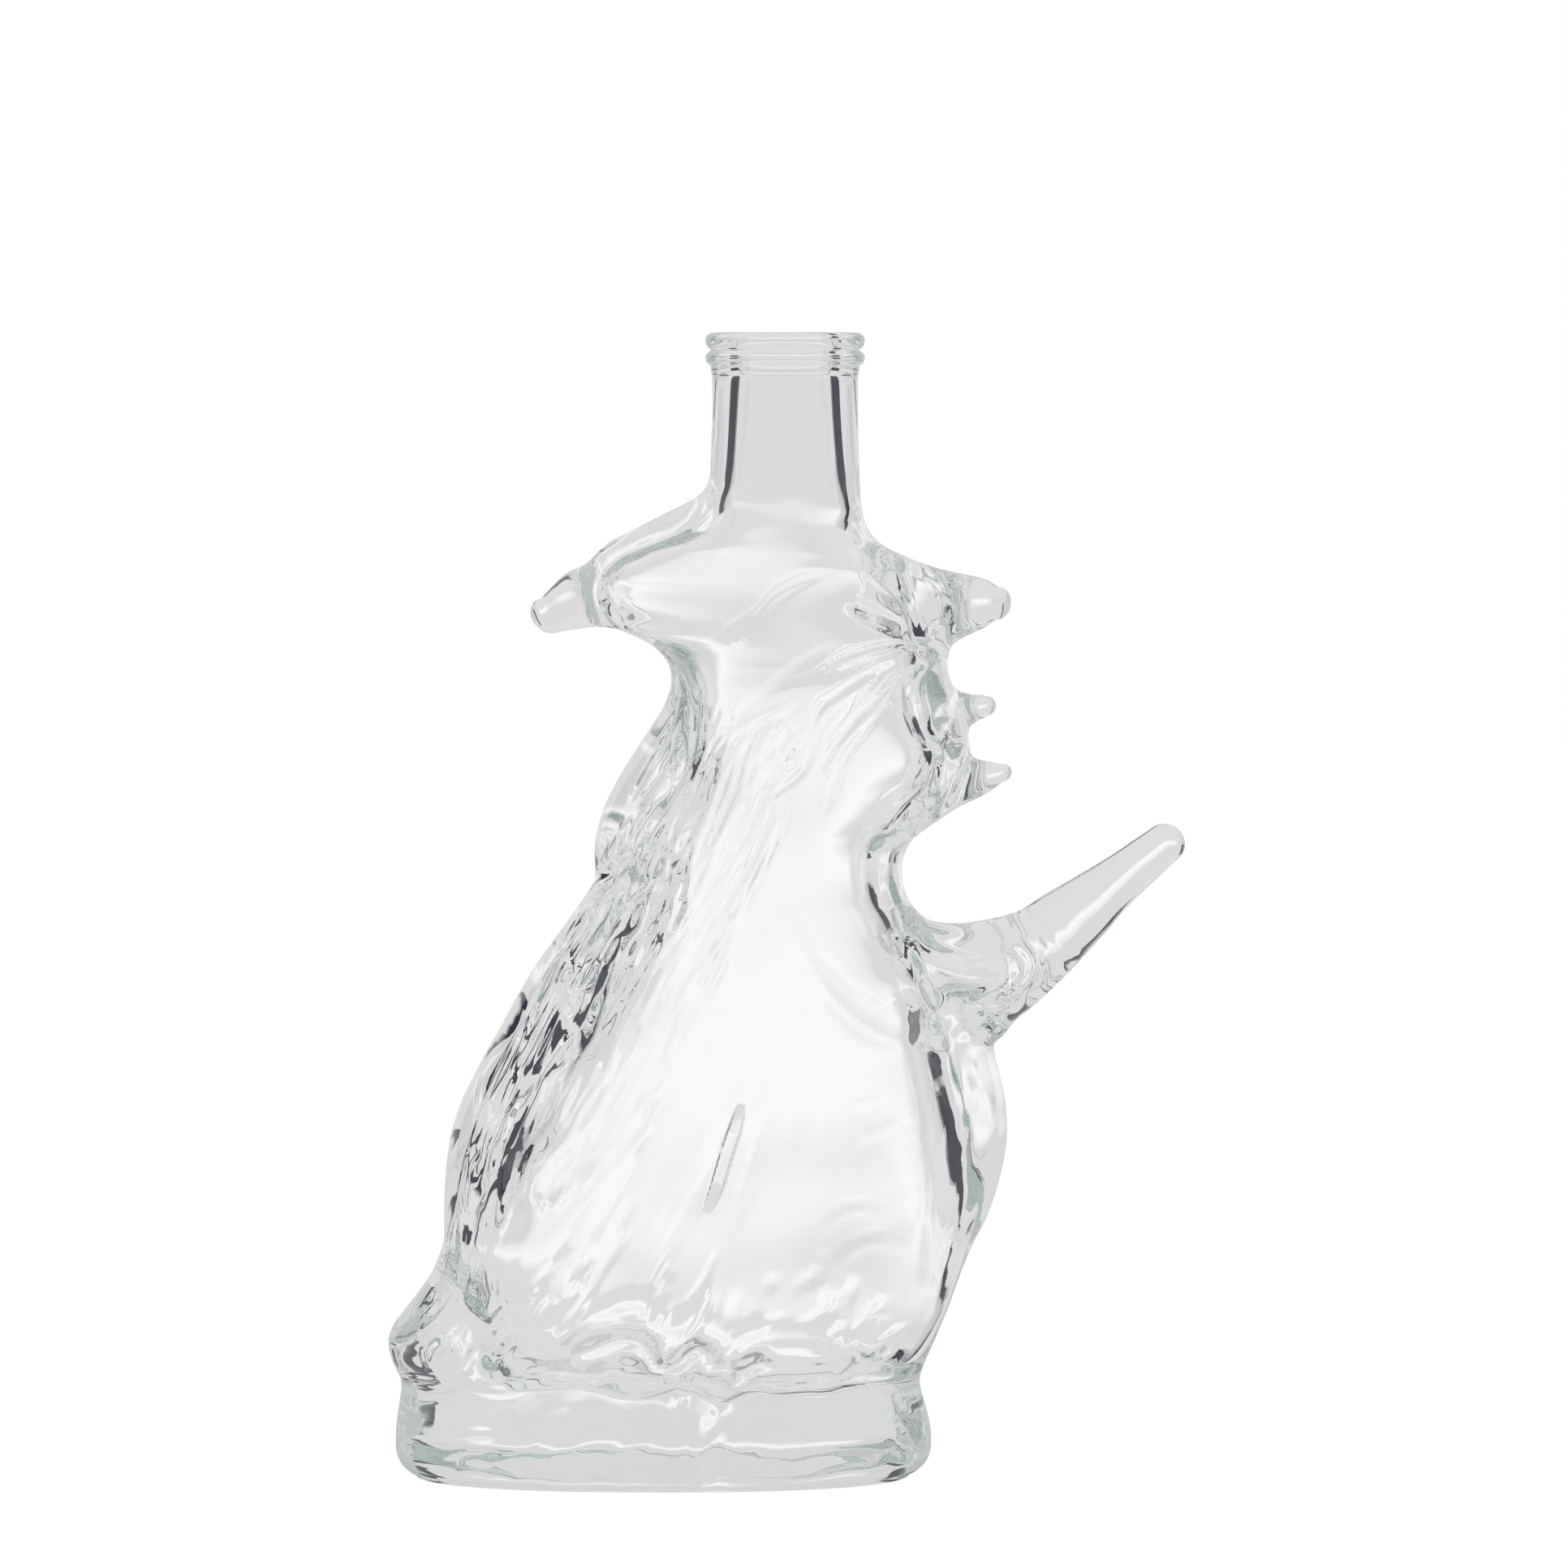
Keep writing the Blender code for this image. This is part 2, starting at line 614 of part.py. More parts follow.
def slab_cutter(name, low, high, collection):
    """A box wider than the figure between two heights."""
    box = bmesh.new()
    width = 2 * (BACK_REACH + FRONT_REACH + CUTTER_OVERRUN)
    middle = Matrix.Translation((0.0, 0.0, (low + high) / 2))
    bmesh.ops.create_cube(box, size=1.0, matrix=middle @ Matrix.Diagonal((width, width, high - low, 1.0)))
    mesh = bpy.data.meshes.new(name)
    box.to_mesh(mesh)
    box.free()
    return as_cutter(name, mesh, collection)


def build():
    """The bottle's named solids, in one collection, and what cuts them, in another."""
    clear_scene()
    bottle = new_collection("witch_bottle")
    cutters = new_collection("cutters")

    def add(name, mesh):
        piece = bpy.data.objects.new(name, mesh)
        bottle.objects.link(piece)
        return piece

    # One hollow for all rings, with a pocket that reaches into the arms, and the skin that the limbs seat on
    skin = figure_mesh()
    arms_root = skin_point(ARMS)
    cavity = as_cutter("cavity", cavity_mesh(), cutters)
    pocket = as_cutter("arm_pocket", limb_mesh("arm_pocket", ARM_POCKET, arms_root), cutters)
    boolean(cavity, pocket, "UNION")
    seat = as_cutter("limb_seat", skin.copy(), cutters)
    swell = seat.modifiers.new("seam", "DISPLACE")
    swell.strength = SEAM_GAP
    swell.mid_level = 0.0

    # The standing foot, dished by the floor of the hollow and by the push-up
    base = add("base_slab", base_mesh())
    base_trim = slab_cutter("base_trim", -CUTTER_OVERRUN, BASE_HEIGHT - SEAM_GAP / 2, cutters)
    boolean(base, base_trim, "INTERSECT")
    boolean(base, cavity, "DIFFERENCE")
    boolean(base, as_cutter("push_up", push_up_mesh(), cutters), "DIFFERENCE")

    # The hollow rings, each a slice of the one skin less the one hollow
    for name, low_share, high_share in zip(RINGS, RING_SPLIT_SHARES, RING_SPLIT_SHARES[1:]):
        ring = add(name, skin.copy())
        low, high = height_of(low_share) + SEAM_GAP / 2, height_of(high_share) - SEAM_GAP / 2
        boolean(ring, slab_cutter(f"{name}_trim", low, high, cutters), "INTERSECT")
        boolean(ring, cavity, "DIFFERENCE")

    # Neck and mouth
    turned_object("neck", neck_profile(), bottle)
    turned_object("mouth_finish", mouth_profile(), bottle)

    # Solid tips of the hat and the face, seated on the skin
    for name, limb in SEATED_TIPS.items():
        boolean(add(name, limb_mesh(name, limb, skin_point(limb))), seat, "DIFFERENCE")

    # The sleeved arms with clasped hands, hollow at their root, and the wand, square to the end of the hands
    arms = add("arms", limb_mesh("arms", ARMS, arms_root, flat_end=True))
    boolean(arms, seat, "DIFFERENCE")
    boolean(arms, pocket, "DIFFERENCE")
    middle, facing = hand_end(ARMS, arms_root)
    grip = middle + facing * SEAM_GAP
    add("wand", limb_mesh("wand", WAND, grip, pitch=math.atan2(facing.z, facing.x)))

    for piece in bottle.objects:
        piece.data.materials.append(glass_material(f"{piece.name}_glass"))


build()
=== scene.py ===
"""Clear glass bottle in the shape of a folk-tale witch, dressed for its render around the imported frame."""

import math
import random

import bmesh
import bpy
import numpy as np
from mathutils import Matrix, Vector, noise


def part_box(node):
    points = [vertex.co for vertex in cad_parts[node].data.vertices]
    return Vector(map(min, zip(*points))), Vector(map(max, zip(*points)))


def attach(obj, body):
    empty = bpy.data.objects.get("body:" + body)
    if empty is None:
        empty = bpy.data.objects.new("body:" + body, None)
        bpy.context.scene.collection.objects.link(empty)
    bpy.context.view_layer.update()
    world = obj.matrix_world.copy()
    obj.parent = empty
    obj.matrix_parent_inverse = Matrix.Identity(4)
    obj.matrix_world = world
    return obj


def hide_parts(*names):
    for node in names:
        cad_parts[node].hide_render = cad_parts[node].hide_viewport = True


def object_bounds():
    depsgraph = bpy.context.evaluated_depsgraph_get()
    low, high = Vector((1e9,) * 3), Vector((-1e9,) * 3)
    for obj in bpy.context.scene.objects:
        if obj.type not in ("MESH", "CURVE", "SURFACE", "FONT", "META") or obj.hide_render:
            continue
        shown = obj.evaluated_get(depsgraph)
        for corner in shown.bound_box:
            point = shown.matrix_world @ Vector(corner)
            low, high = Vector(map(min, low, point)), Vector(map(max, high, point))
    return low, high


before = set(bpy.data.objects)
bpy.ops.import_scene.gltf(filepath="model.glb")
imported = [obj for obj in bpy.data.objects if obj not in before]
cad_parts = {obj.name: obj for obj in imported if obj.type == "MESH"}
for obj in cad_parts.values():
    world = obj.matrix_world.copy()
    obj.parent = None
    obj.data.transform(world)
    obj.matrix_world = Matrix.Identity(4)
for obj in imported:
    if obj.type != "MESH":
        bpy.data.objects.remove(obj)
cad_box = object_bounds()

# The hollow figure's outer skin. The real bottle is one moulding of clear glass from a two-part mould, so
# hat, head, hair, skirt and base flow into each other. Its sections are ovals across the profile, drawn in
# mm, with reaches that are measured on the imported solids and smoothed.
MM = 0.001
SKIN_NODES = ("base_slab", "skirt", "torso", "head", "hat", "neck")
OUTLINE_PITCH = 0.5 * MM
OUTLINE_SOFTNESS = 1.1 * MM
DEPTH_SOFTNESS = 3.6 * MM
SOFT_STEPS = 24
# The base is drawn in upwards, and the hem stands out over it: heights and half-depths.
BASE_SIDES = ((0, 26.3), (0.5, 27.1), (1.2, 27.6), (2.4, 28), (21.5, 26.8), (24, 27.2))
# The rows of faces: close in the heel, and then with a pitch from each height on.
HEEL_HEIGHT = 5 * MM
HEEL_ROWS = 8
ROW_PITCHES = ((5, 0.85), (24, 1.1), (80, 0.95), (103, 0.76), (166, 0.85), (188, 2.2))
# The columns of faces stand closer in the hair, and turn the profile's edges evenly.
AROUND = 244
TURN_STEPS = 720
EDGE_COLUMNS = 0.3
HAIR_TURN = 0.45 * math.pi
HAIR_COLUMNS = 1.6
# How full the ovals are at a height, behind and in front, and where they are widest, as a share of the way
# from the neck's axis to their middle. The hat's crest is lean, so that the neck runs smoothly into it.
FULLNESS_HEIGHTS = (0, 60, 115, 140, 150, 160, 164, 168, 172, 176, 180, 184)
FULLNESS_BACK = (2.35, 2.5, 2.45, 2.3, 2.15, 2.06, 2.02, 1.8, 1.58, 1.57, 1.73, 2)
FULLNESS_FRONT = (2.35, 2.5, 2.4, 2.6, 2.3, 2.0, 1.85, 1.6, 1.85, 2, 2, 2)
MIDDLE_SHARE = (1, 1, 1, 1, 1, 0.4, 0.1, 0, 0, 0, 0, 0)

neck_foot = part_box("neck")[0].z
finish_foot, finish_top = (corner.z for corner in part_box("mouth_finish"))


def solid_edges(names):
    """The two ends of every edge of the named solids."""
    ends = []
    for name in names:
        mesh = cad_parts[name].data
        points = np.array([vertex.co for vertex in mesh.vertices])
        ends.append(points[np.array([edge.vertices for edge in mesh.edges])])
    return np.concatenate(ends)


def reaches_at(edges, height):
    """How far the solids' level section reaches to the back, the front and the side."""
    low, high = edges[:, 0], edges[:, 1]
    crossing = (low[:, 2] - height) * (high[:, 2] - height) < 0
    low, high = low[crossing], high[crossing]
    if len(low) < 3:
        return (math.nan,) * 3
    along = ((height - low[:, 2]) / (high[:, 2] - low[:, 2]))[:, None]
    cut = low + (high - low) * along
    return -cut[:, 0].min(), cut[:, 0].max(), np.abs(cut[:, 1]).max()


outline_heights = np.arange(OUTLINE_PITCH / 2, finish_foot, OUTLINE_PITCH)
body_edges = solid_edges(SKIN_NODES)
outline = np.array([reaches_at(body_edges, height) for height in outline_heights])
for side in range(3):
    found = ~np.isnan(outline[:, side])
    outline[:, side] = np.interp(outline_heights, outline_heights[found], outline[found, side])
for side, softness in enumerate((OUTLINE_SOFTNESS, OUTLINE_SOFTNESS, DEPTH_SOFTNESS)):
    spread = np.arange(-SOFT_STEPS, SOFT_STEPS + 1) * OUTLINE_PITCH
    weights = np.exp(-((spread / softness) ** 2) / 2)
    padded = np.pad(outline[:, side], SOFT_STEPS, mode="edge")
    softened = np.convolve(padded, weights / weights.sum(), mode="valid")
    outline[:, side] += (softened - outline[:, side]) * np.clip(outline_heights / HEEL_HEIGHT - 1, 0, 1)
base_heights, base_sides = np.array(BASE_SIDES).T * MM
in_base = (outline_heights > base_heights[0]) & (outline_heights < base_heights[-1])
outline[in_base, 2] = np.interp(outline_heights, base_heights, base_sides)[in_base]


def skin_reaches(height):
    """Back, front and side reach of the outer skin at a height."""
    return [np.interp(height, outline_heights, outline[:, side]) for side in range(3)]


def skin_form(height):
    """Fullness of the outer skin behind and in front, and its widest place, at a height."""
    tables = (FULLNESS_BACK, FULLNESS_FRONT, MIDDLE_SHARE)
    full_back, full_front, share = (np.interp(height / MM, FULLNESS_HEIGHTS, table) for table in tables)
    back, front, _ = skin_reaches(height)
    return full_back, full_front, share * (front - back) / 2


def oval(reaches, height, turns, form=(2, 2, None)):
    """One level section: an oval across the profile, from the front round by +Y."""
    back, front, depth = reaches
    full_back, full_front, middle = form
    middle = (front - back) / 2 if middle is None else middle
    cos, sin = np.cos(turns), np.sin(turns)
    exponent = np.where(cos > 0, full_front, full_back)
    radius = (np.abs(cos) ** exponent + np.abs(sin) ** exponent) ** (-1 / exponent)
    x = middle + np.where(cos > 0, front - middle, back + middle) * cos * radius
    return np.stack([x, depth * sin * radius, np.full(len(turns), height)], 1)


fine_turns = np.linspace(0, math.pi, TURN_STEPS + 1)
crowding = np.where(fine_turns > HAIR_TURN, HAIR_COLUMNS, 1)
crowd = np.cumsum((EDGE_COLUMNS + np.sin(fine_turns)) * crowding)
crowd = (crowd - crowd[0]) / (crowd[-1] - crowd[0])
half_turns = np.interp(np.arange(AROUND // 2 + 1) / (AROUND // 2), crowd, fine_turns)
turns = np.concatenate([half_turns, 2 * math.pi - half_turns[-2:0:-1]])

row_heights = [HEEL_HEIGHT * (1 - math.cos(k / HEEL_ROWS * math.pi / 2)) for k in range(HEEL_ROWS)]
for (start, pitch), (end, _) in zip(ROW_PITCHES, ROW_PITCHES[1:] + ((finish_foot / MM, 0),)):
    row_heights += list(np.linspace(start, end, round((end - start) / pitch), endpoint=False) * MM)
skin_rings = [oval(skin_reaches(height), height, turns, skin_form(height)) for height in row_heights]

# The underside: a flat bearing ring round a shallow push-up, so that the bottle stands without rocking.
PUSH_UP = 1.2
PUSH_UP_STEPS = 9
BEARING = 7.0
BEARING_STEPS = 3

foot_ring = skin_rings[0]
foot_middle = np.array([foot_ring[:, 0].mean(), 0, 0])
inner_share = 1 - BEARING * MM / ((foot_ring[:, 0].max() - foot_ring[:, 0].min()) / 2)
foot_steps = []
for k in range(PUSH_UP_STEPS, 0, -1):
    lift = PUSH_UP * MM * math.sin(k / PUSH_UP_STEPS * math.pi / 2)
    foot_steps.append((inner_share * (1 - k / PUSH_UP_STEPS), lift))
for k in range(BEARING_STEPS):
    foot_steps.append((inner_share + (1 - inner_share) * k / BEARING_STEPS, 0))
foot_rings = []
for share, lift in foot_steps:
    foot_rings.append(foot_middle + (foot_ring - foot_middle) * share + np.array([0, 0, lift]))

# The mouth: a cork finish turned in the neck ring, with two beads, a flat land and a rounded entry to the
# bore. A bead has its lift over the finish's foot, its half-height and the angles of its rings.
BEADS = ((1.65, 1.35, (-75, -50, -25, 0, 25, 50, 75)), (4.7, 1.45, (-75, -50, -25)))
BEAD_SWELL = 1.3
LAND_ROUND = 1.5
LAND_ANGLES = (0, 20, 45, 70, 90)

neck_radius = skin_reaches(finish_foot)[1]
finish_rings = []
for lift, half_height, angles in BEADS:
    for angle in angles:
        radius = neck_radius + BEAD_SWELL * MM * math.cos(math.radians(angle))
        height = finish_foot + (lift + half_height * math.sin(math.radians(angle))) * MM
        finish_rings.append(oval((radius,) * 3, height, turns))
for angle in LAND_ANGLES:
    radius = neck_radius + BEAD_SWELL * MM - LAND_ROUND * MM * (1 - math.cos(math.radians(angle)))
    height = finish_top - LAND_ROUND * MM * (1 - math.sin(math.radians(angle)))
    finish_rings.append(oval((radius,) * 3, height, turns))

glass = bmesh.new()
row_of = glass.verts.layers.int.new("row")
column_of = glass.verts.layers.int.new("column")


def tube(rings):
    """A tube of four-sided faces through the rings' points, and its vertices by row and column."""
    columns = len(rings[0])
    made = bmesh.ops.create_grid(glass, x_segments=columns, y_segments=len(rings) - 1, size=1)["verts"]
    rows = [made[k : k + columns + 1] for k in range(0, len(made), columns + 1)]
    bmesh.ops.weld_verts(glass, targetmap={row.pop(): row[0] for row in rows})
    for k, (row, points) in enumerate(zip(rows, rings)):
        for column, (vertex, point) in enumerate(zip(row, points)):
            vertex.co = point
            vertex[row_of], vertex[column_of] = k, column
    return rows


shell = tube(foot_rings + skin_rings + finish_rings)
bmesh.ops.pointmerge(glass, verts=shell[0], merge_co=foot_middle + np.array([0, 0, PUSH_UP * MM]))
skin = shell[len(foot_rings) : len(foot_rings) + len(skin_rings)]

# The limbs: brim points, nose, chin and the clasped arms with the wand, all solid. Each is pulled out of
# the skin's own faces between two heights. Its sections have an upper and a lower point in the profile
# plane and a half-depth, in mm, and the last one rounds into the tip.
LIMBS = {
    "brim_back": ((157.5, 168.5), (
        ((-39.6, 168.2), (-35.6, 157), 6.8),
        ((-41.3, 166.4), (-37.4, 156.7), 6.2),
        ((-43, 164.5), (-39.6, 156.5), 5.5),
        ((-45, 162.3), (-42.6, 155.9), 4.5),
    ), (-46.8, 158.6)),
    "brim_front": ((154.5, 167.2), (
        ((34.9, 167), (33.6, 155), 6.6),
        ((37.5, 165.7), (36.4, 156.7), 5.6),
        ((39.4, 164.4), (39, 158.3), 4.4),
    ), (41.8, 161.4)),
    "nose": ((138.2, 145.4), (
        ((34.2, 145), (34.6, 138.7), 3.2),
        ((35.6, 144.7), (35.9, 139.7), 2.8),
        ((37.1, 144.2), (37.2, 140.6), 2.3),
    ), (39, 142.6)),
    "chin": ((124.2, 133.2), (
        ((35.8, 132.8), (35.7, 124.8), 3.9),
        ((37.8, 132.2), (38, 126.6), 3.3),
        ((39.9, 131.7), (40.1, 128.3), 2.5),
    ), (41.9, 130.3)),
    "arms_and_wand": ((80.5, 101.5), (
        ((34.8, 102.5), (39.6, 80.1), 12.6),
        ((38.2, 103.1), (42.3, 83.8), 11),
        ((41.3, 103.9), (46.8, 87.7), 9.2),
        ((43.4, 104.6), (52.4, 93), 7.9),
        ((47.6, 107.3), (56, 96.9), 6.7),
        ((52.1, 109.9), (59.5, 100.8), 5.85),
        ((56.4, 112.4), (62.7, 104.6), 5.03),
        ((60.5, 115), (66.1, 108.1), 4.44),
        ((64.5, 117.7), (69.6, 111.4), 4.07),
        ((67.9, 120), (72.6, 114.2), 3.74),
    ), (73.1, 119.2)),
}
SECTION_PITCH = 1.3
# The faces that are smoothed round a limb's root, and how often.
ROOT_ROWS = 5
ROOT_COLUMNS = 6
ROOT_SECTIONS = 3
BLEND_ROUNDS = 8


def curve_through(rows, pitch):
    """Rows of numbers on a smooth curve through the given rows, about a pitch apart along it."""
    rows = np.array(rows, float)
    ends = np.concatenate([2 * rows[:1] - rows[1:2], rows, 2 * rows[-1:] - rows[-2:-1]])
    made = []
    for k in range(1, len(rows)):
        a, b, c, d = ends[k - 1 : k + 3]
        steps = max(1, round(float(np.linalg.norm(c - b)) / pitch))
        for t in np.arange(steps) / steps:
            bend = (2 * a - 5 * b + 4 * c - d) * t**2 + (3 * b - a - 3 * c + d) * t**3
            made.append(b + ((c - a) * t + bend) / 2)
    return np.array(made + [rows[-1]])


def pull_out(rows, centre, low, high, sections, tip):
    """Pulls a limb out round a tube's centre column, and gives back the vertices round its root."""
    columns = len(rows[0])
    kept = [(k, row[centre]) for k, row in enumerate(rows) if row[centre].is_valid]
    levels = [k for k, vertex in kept if low * MM <= vertex.co.z <= high * MM]
    first, last = levels[0], levels[-1]
    rising = 1 if rows[last][centre].co.z > rows[first][centre].co.z else -1
    middle, root_depth = rows[(first + last) // 2], sections[0][2] * MM
    half = next(k for k in range(columns // 2) if abs(middle[(centre + k) % columns].co.y) > root_depth)
    block = []
    for row, above in zip(rows[first:last], rows[first + 1 :]):
        for column in range(centre - half, centre + half):
            here, there = column % columns, (column + 1) % columns
            block.append(glass.faces.get((row[here], row[there], above[there], above[here])))
    root = set()
    for row in rows[first - ROOT_ROWS : last + ROOT_ROWS + 1]:
        for column in range(centre - half - ROOT_COLUMNS, centre + half + ROOT_COLUMNS + 1):
            root.add(row[column % columns])

    side = 1 if centre == 0 else -1
    row_middle = (rows[first][centre][row_of] + rows[last][centre][row_of]) / 2
    flat = [(*upper, *lower, depth) for upper, lower, depth in sections]
    stations = curve_through(flat, SECTION_PITCH) * MM
    for k, station in enumerate(stations):
        patch_edges = list({edge for face in block for edge in face.edges})
        grown = bmesh.ops.extrude_face_region(glass, geom=block + patch_edges)["geom"]
        block = [part for part in grown if isinstance(part, bmesh.types.BMFace)]
        upper = Vector((station[0], 0, station[1]))
        lower = Vector((station[2], 0, station[3]))
        centre_point, rise = (upper + lower) / 2, (upper - lower) / 2
        reach = Vector((tip[0], 0, tip[1])) * MM - centre_point
        for vertex in {vertex for face in block for vertex in face.verts}:
            off = (vertex[column_of] - centre + columns // 2) % columns - columns // 2
            across = side * off / half
            up = rising * (vertex[row_of] - row_middle) / ((last - first) / 2)
            across, up = across * math.sqrt(1 - up**2 / 2), up * math.sqrt(1 - across**2 / 2)
            out = min(1, math.hypot(across, up))
            swing = out * math.pi / 2
            spread_out = math.sin(swing) / out if out else 1
            point = centre_point + rise * (up * spread_out)
            point += Vector((0, station[4] * across * spread_out, 0))
            if k == len(stations) - 1:
                point += reach * math.cos(swing)
            vertex.co = point
            if k < ROOT_SECTIONS:
                root.add(vertex)
    return root


def blend(roots, rounds):
    """Smooths the glass where limbs meet it."""
    verts = [vertex for vertex in roots if vertex.is_valid]
    all_ways = {"use_axis_x": True, "use_axis_y": True, "use_axis_z": True}
    for _ in range(rounds):
        bmesh.ops.smooth_vert(glass, verts=verts, factor=0.5, **all_ways)


roots = set()
for (low, high), sections, tip in LIMBS.values():
    roots |= pull_out(skin, 0 if tip[0] > 0 else AROUND // 2, low, high, sections, tip)
blend(roots, BLEND_ROUNDS)

# The hat's relief: the crease of its brim across the head, and the folds and dents at the roots of its
# points. It is cut into both halves of the mould alike. A form has its half-width, its height over the skin
# or, where that is below 0, its depth under it, and its lines in the profile plane, in mm.
HAT_LINES = {
    "brim_crease": (1.5, 0.14,
        ((-14.6, 153.8), (-10, 156.5), (-6, 158.6), (-1.8, 163.1), (1.3, 165), (5.5, 166.7),
         (12.4, 167.8))),
    "brim_leaf": (0.9, -0.2, ((-9.3, 154.1), (-7.9, 156.1), (-5.4, 159.1))),
    "brim_root": (1.3, -0.35,
        ((14.3, 168.1), (18.1, 165), (21.4, 162.5), (22.2, 160.4), (23.4, 156.2), (24.3, 153.6))),
    "brim_fold": (1.7, 0.35,
        ((16.7, 169.2), (23, 168.8), (26.1, 166.8), (28.3, 163.8), (30, 160.7), (30.9, 157.5),
         (30.5, 154.5))),
    "brim_dark": (1.2, -1, ((28.3, 163.2), (29.4, 161.1), (29.2, 158.7), (27.1, 157.6), (26.1, 154.8))),
    "brim_back_ring": (1.6, -0.35, ((-36, 169.3), (-33.3, 166.2), (-32, 162.8), (-31.2, 160.2))),
}
# A line tapers over this share of its length, and all relief fades where the skin is seen edge-on.
LINE_TAPER = 0.25
EDGE_ON = 0.45
# Finer faces for the relief at the hat's root and the eye, on the hands, and at the leaf-shaped fold.
FINE_PARTS = (((12, 152), (34, 170)), ((33, 84), (56, 112)), ((-17, 49), (-5.5, 73)))
LEAF_PARTS = (((-11.5, 62), (-6, 72.5)), ((-13.6, 56), (-9, 62)), ((-16, 50), (-10.4, 56)))


def lies_in(parts, vertex):
    """Whether a vertex lies in one of the oblongs of the profile plane."""
    x, z = vertex.co.x / MM, vertex.co.z / MM
    return any(low[0] <= x <= high[0] and low[1] <= z <= high[1] for low, high in parts)


for parts in (FINE_PARTS, LEAF_PARTS):
    fine = [edge for edge in glass.edges if all(lies_in(parts, vertex) for vertex in edge.verts)]
    bmesh.ops.subdivide_edges(glass, edges=fine, cuts=1, use_grid_fill=True)
glass.normal_update()
skin_vertices = [vertex for vertex in glass.verts if vertex.co.z < finish_foot]
skin_points = np.array([vertex.co for vertex in skin_vertices])
skin_normals = np.array([vertex.normal for vertex in skin_vertices])
places = skin_points[:, (0, 2)] / MM
facing = np.clip(np.abs(skin_normals[:, 1]) / EDGE_ON, 0, 1)
facing = facing**2 * (3 - 2 * facing)
relief = np.zeros(len(skin_points))


def press(line, half_width, height, steepness=1, far_share=1):
    """Raises, or with a height below 0 sinks, both sides of the skin along a line of the profile plane."""
    path = curve_through(line, half_width)
    low, high = path.min(0) - half_width, path.max(0) + half_width
    near = np.flatnonzero(((places > low) & (places < high)).all(1))
    ahead = np.diff(path, axis=0)
    off = places[near, None] - path[:-1]
    along = np.clip((off * ahead).sum(2) / (ahead**2).sum(1), 0, 1)
    apart = np.linalg.norm(off - along[..., None] * ahead, axis=2)
    closest = apart.argmin(1)
    picked = (np.arange(len(near)), closest)
    share = (closest + along[picked]) / len(ahead)
    fade = np.sqrt(np.clip(np.minimum(share, 1 - share) / LINE_TAPER, 0, 1))
    off_line = apart[picked] / (half_width * (0.5 + 0.5 * fade))
    swell = np.clip((1 - off_line**2) * steepness, 0, 1) ** 2
    relief[near] += height * swell * fade * np.where(skin_points[near, 1] > 0, far_share, 1)


def press_lines(table):
    """Presses all lines of a table."""
    for half_width, height, *lines in table.values():
        for line in lines:
            press(line, half_width, height)


press_lines(HAT_LINES)

# The face, seen in profile: the eye in its socket, the brow, the cheek, the smile and the lines that set
# off the nose and the chin.
FACE_LINES = {
    "eye_mound": (2.3, 1, ((12.5, 161.4), (14.6, 160.5), (17.2, 159.1), (19.6, 157.9), (21.6, 156.7))),
    "eye_slit": (1.1, -0.55, ((15.5, 159.4), (17.2, 158.4), (19.3, 157.6), (20.5, 157.7))),
    "brow": (1.6, 0.25, ((24.1, 153.2), (26.9, 151.9), (28.7, 149.6), (29.7, 147.2))),
    "cheek_fold": (1.2, 0.2, ((23.2, 146.4), (24.7, 142.5), (25.9, 139.4), (27.1, 137.6))),
    "cheek_ball": (3.4, 0.5, ((27.1, 141.2), (29.9, 139.4))),
    "smile": (0.9, -0.4, ((34.3, 136.9), (31.7, 136.3), (29.5, 137.9), (28.3, 139.7))),
    "jaw": (1.1, -0.9, ((33.6, 136.1), (32.9, 132.6), (31.2, 128.6), (29.9, 125), (25.7, 122.4))),
    "throat": (1.1, 0.35, ((27.1, 125.6), (22.6, 123.1), (20.9, 120.5), (20.3, 116.5))),
    "nose_root": (1.2, -0.25, ((31.9, 145.5), (32.7, 142.6), (34.2, 139.3))),
    "chin_root": (1.2, -0.25, ((34.2, 132.7), (34.5, 130.4), (33.3, 126.7))),
}
press_lines(FACE_LINES)

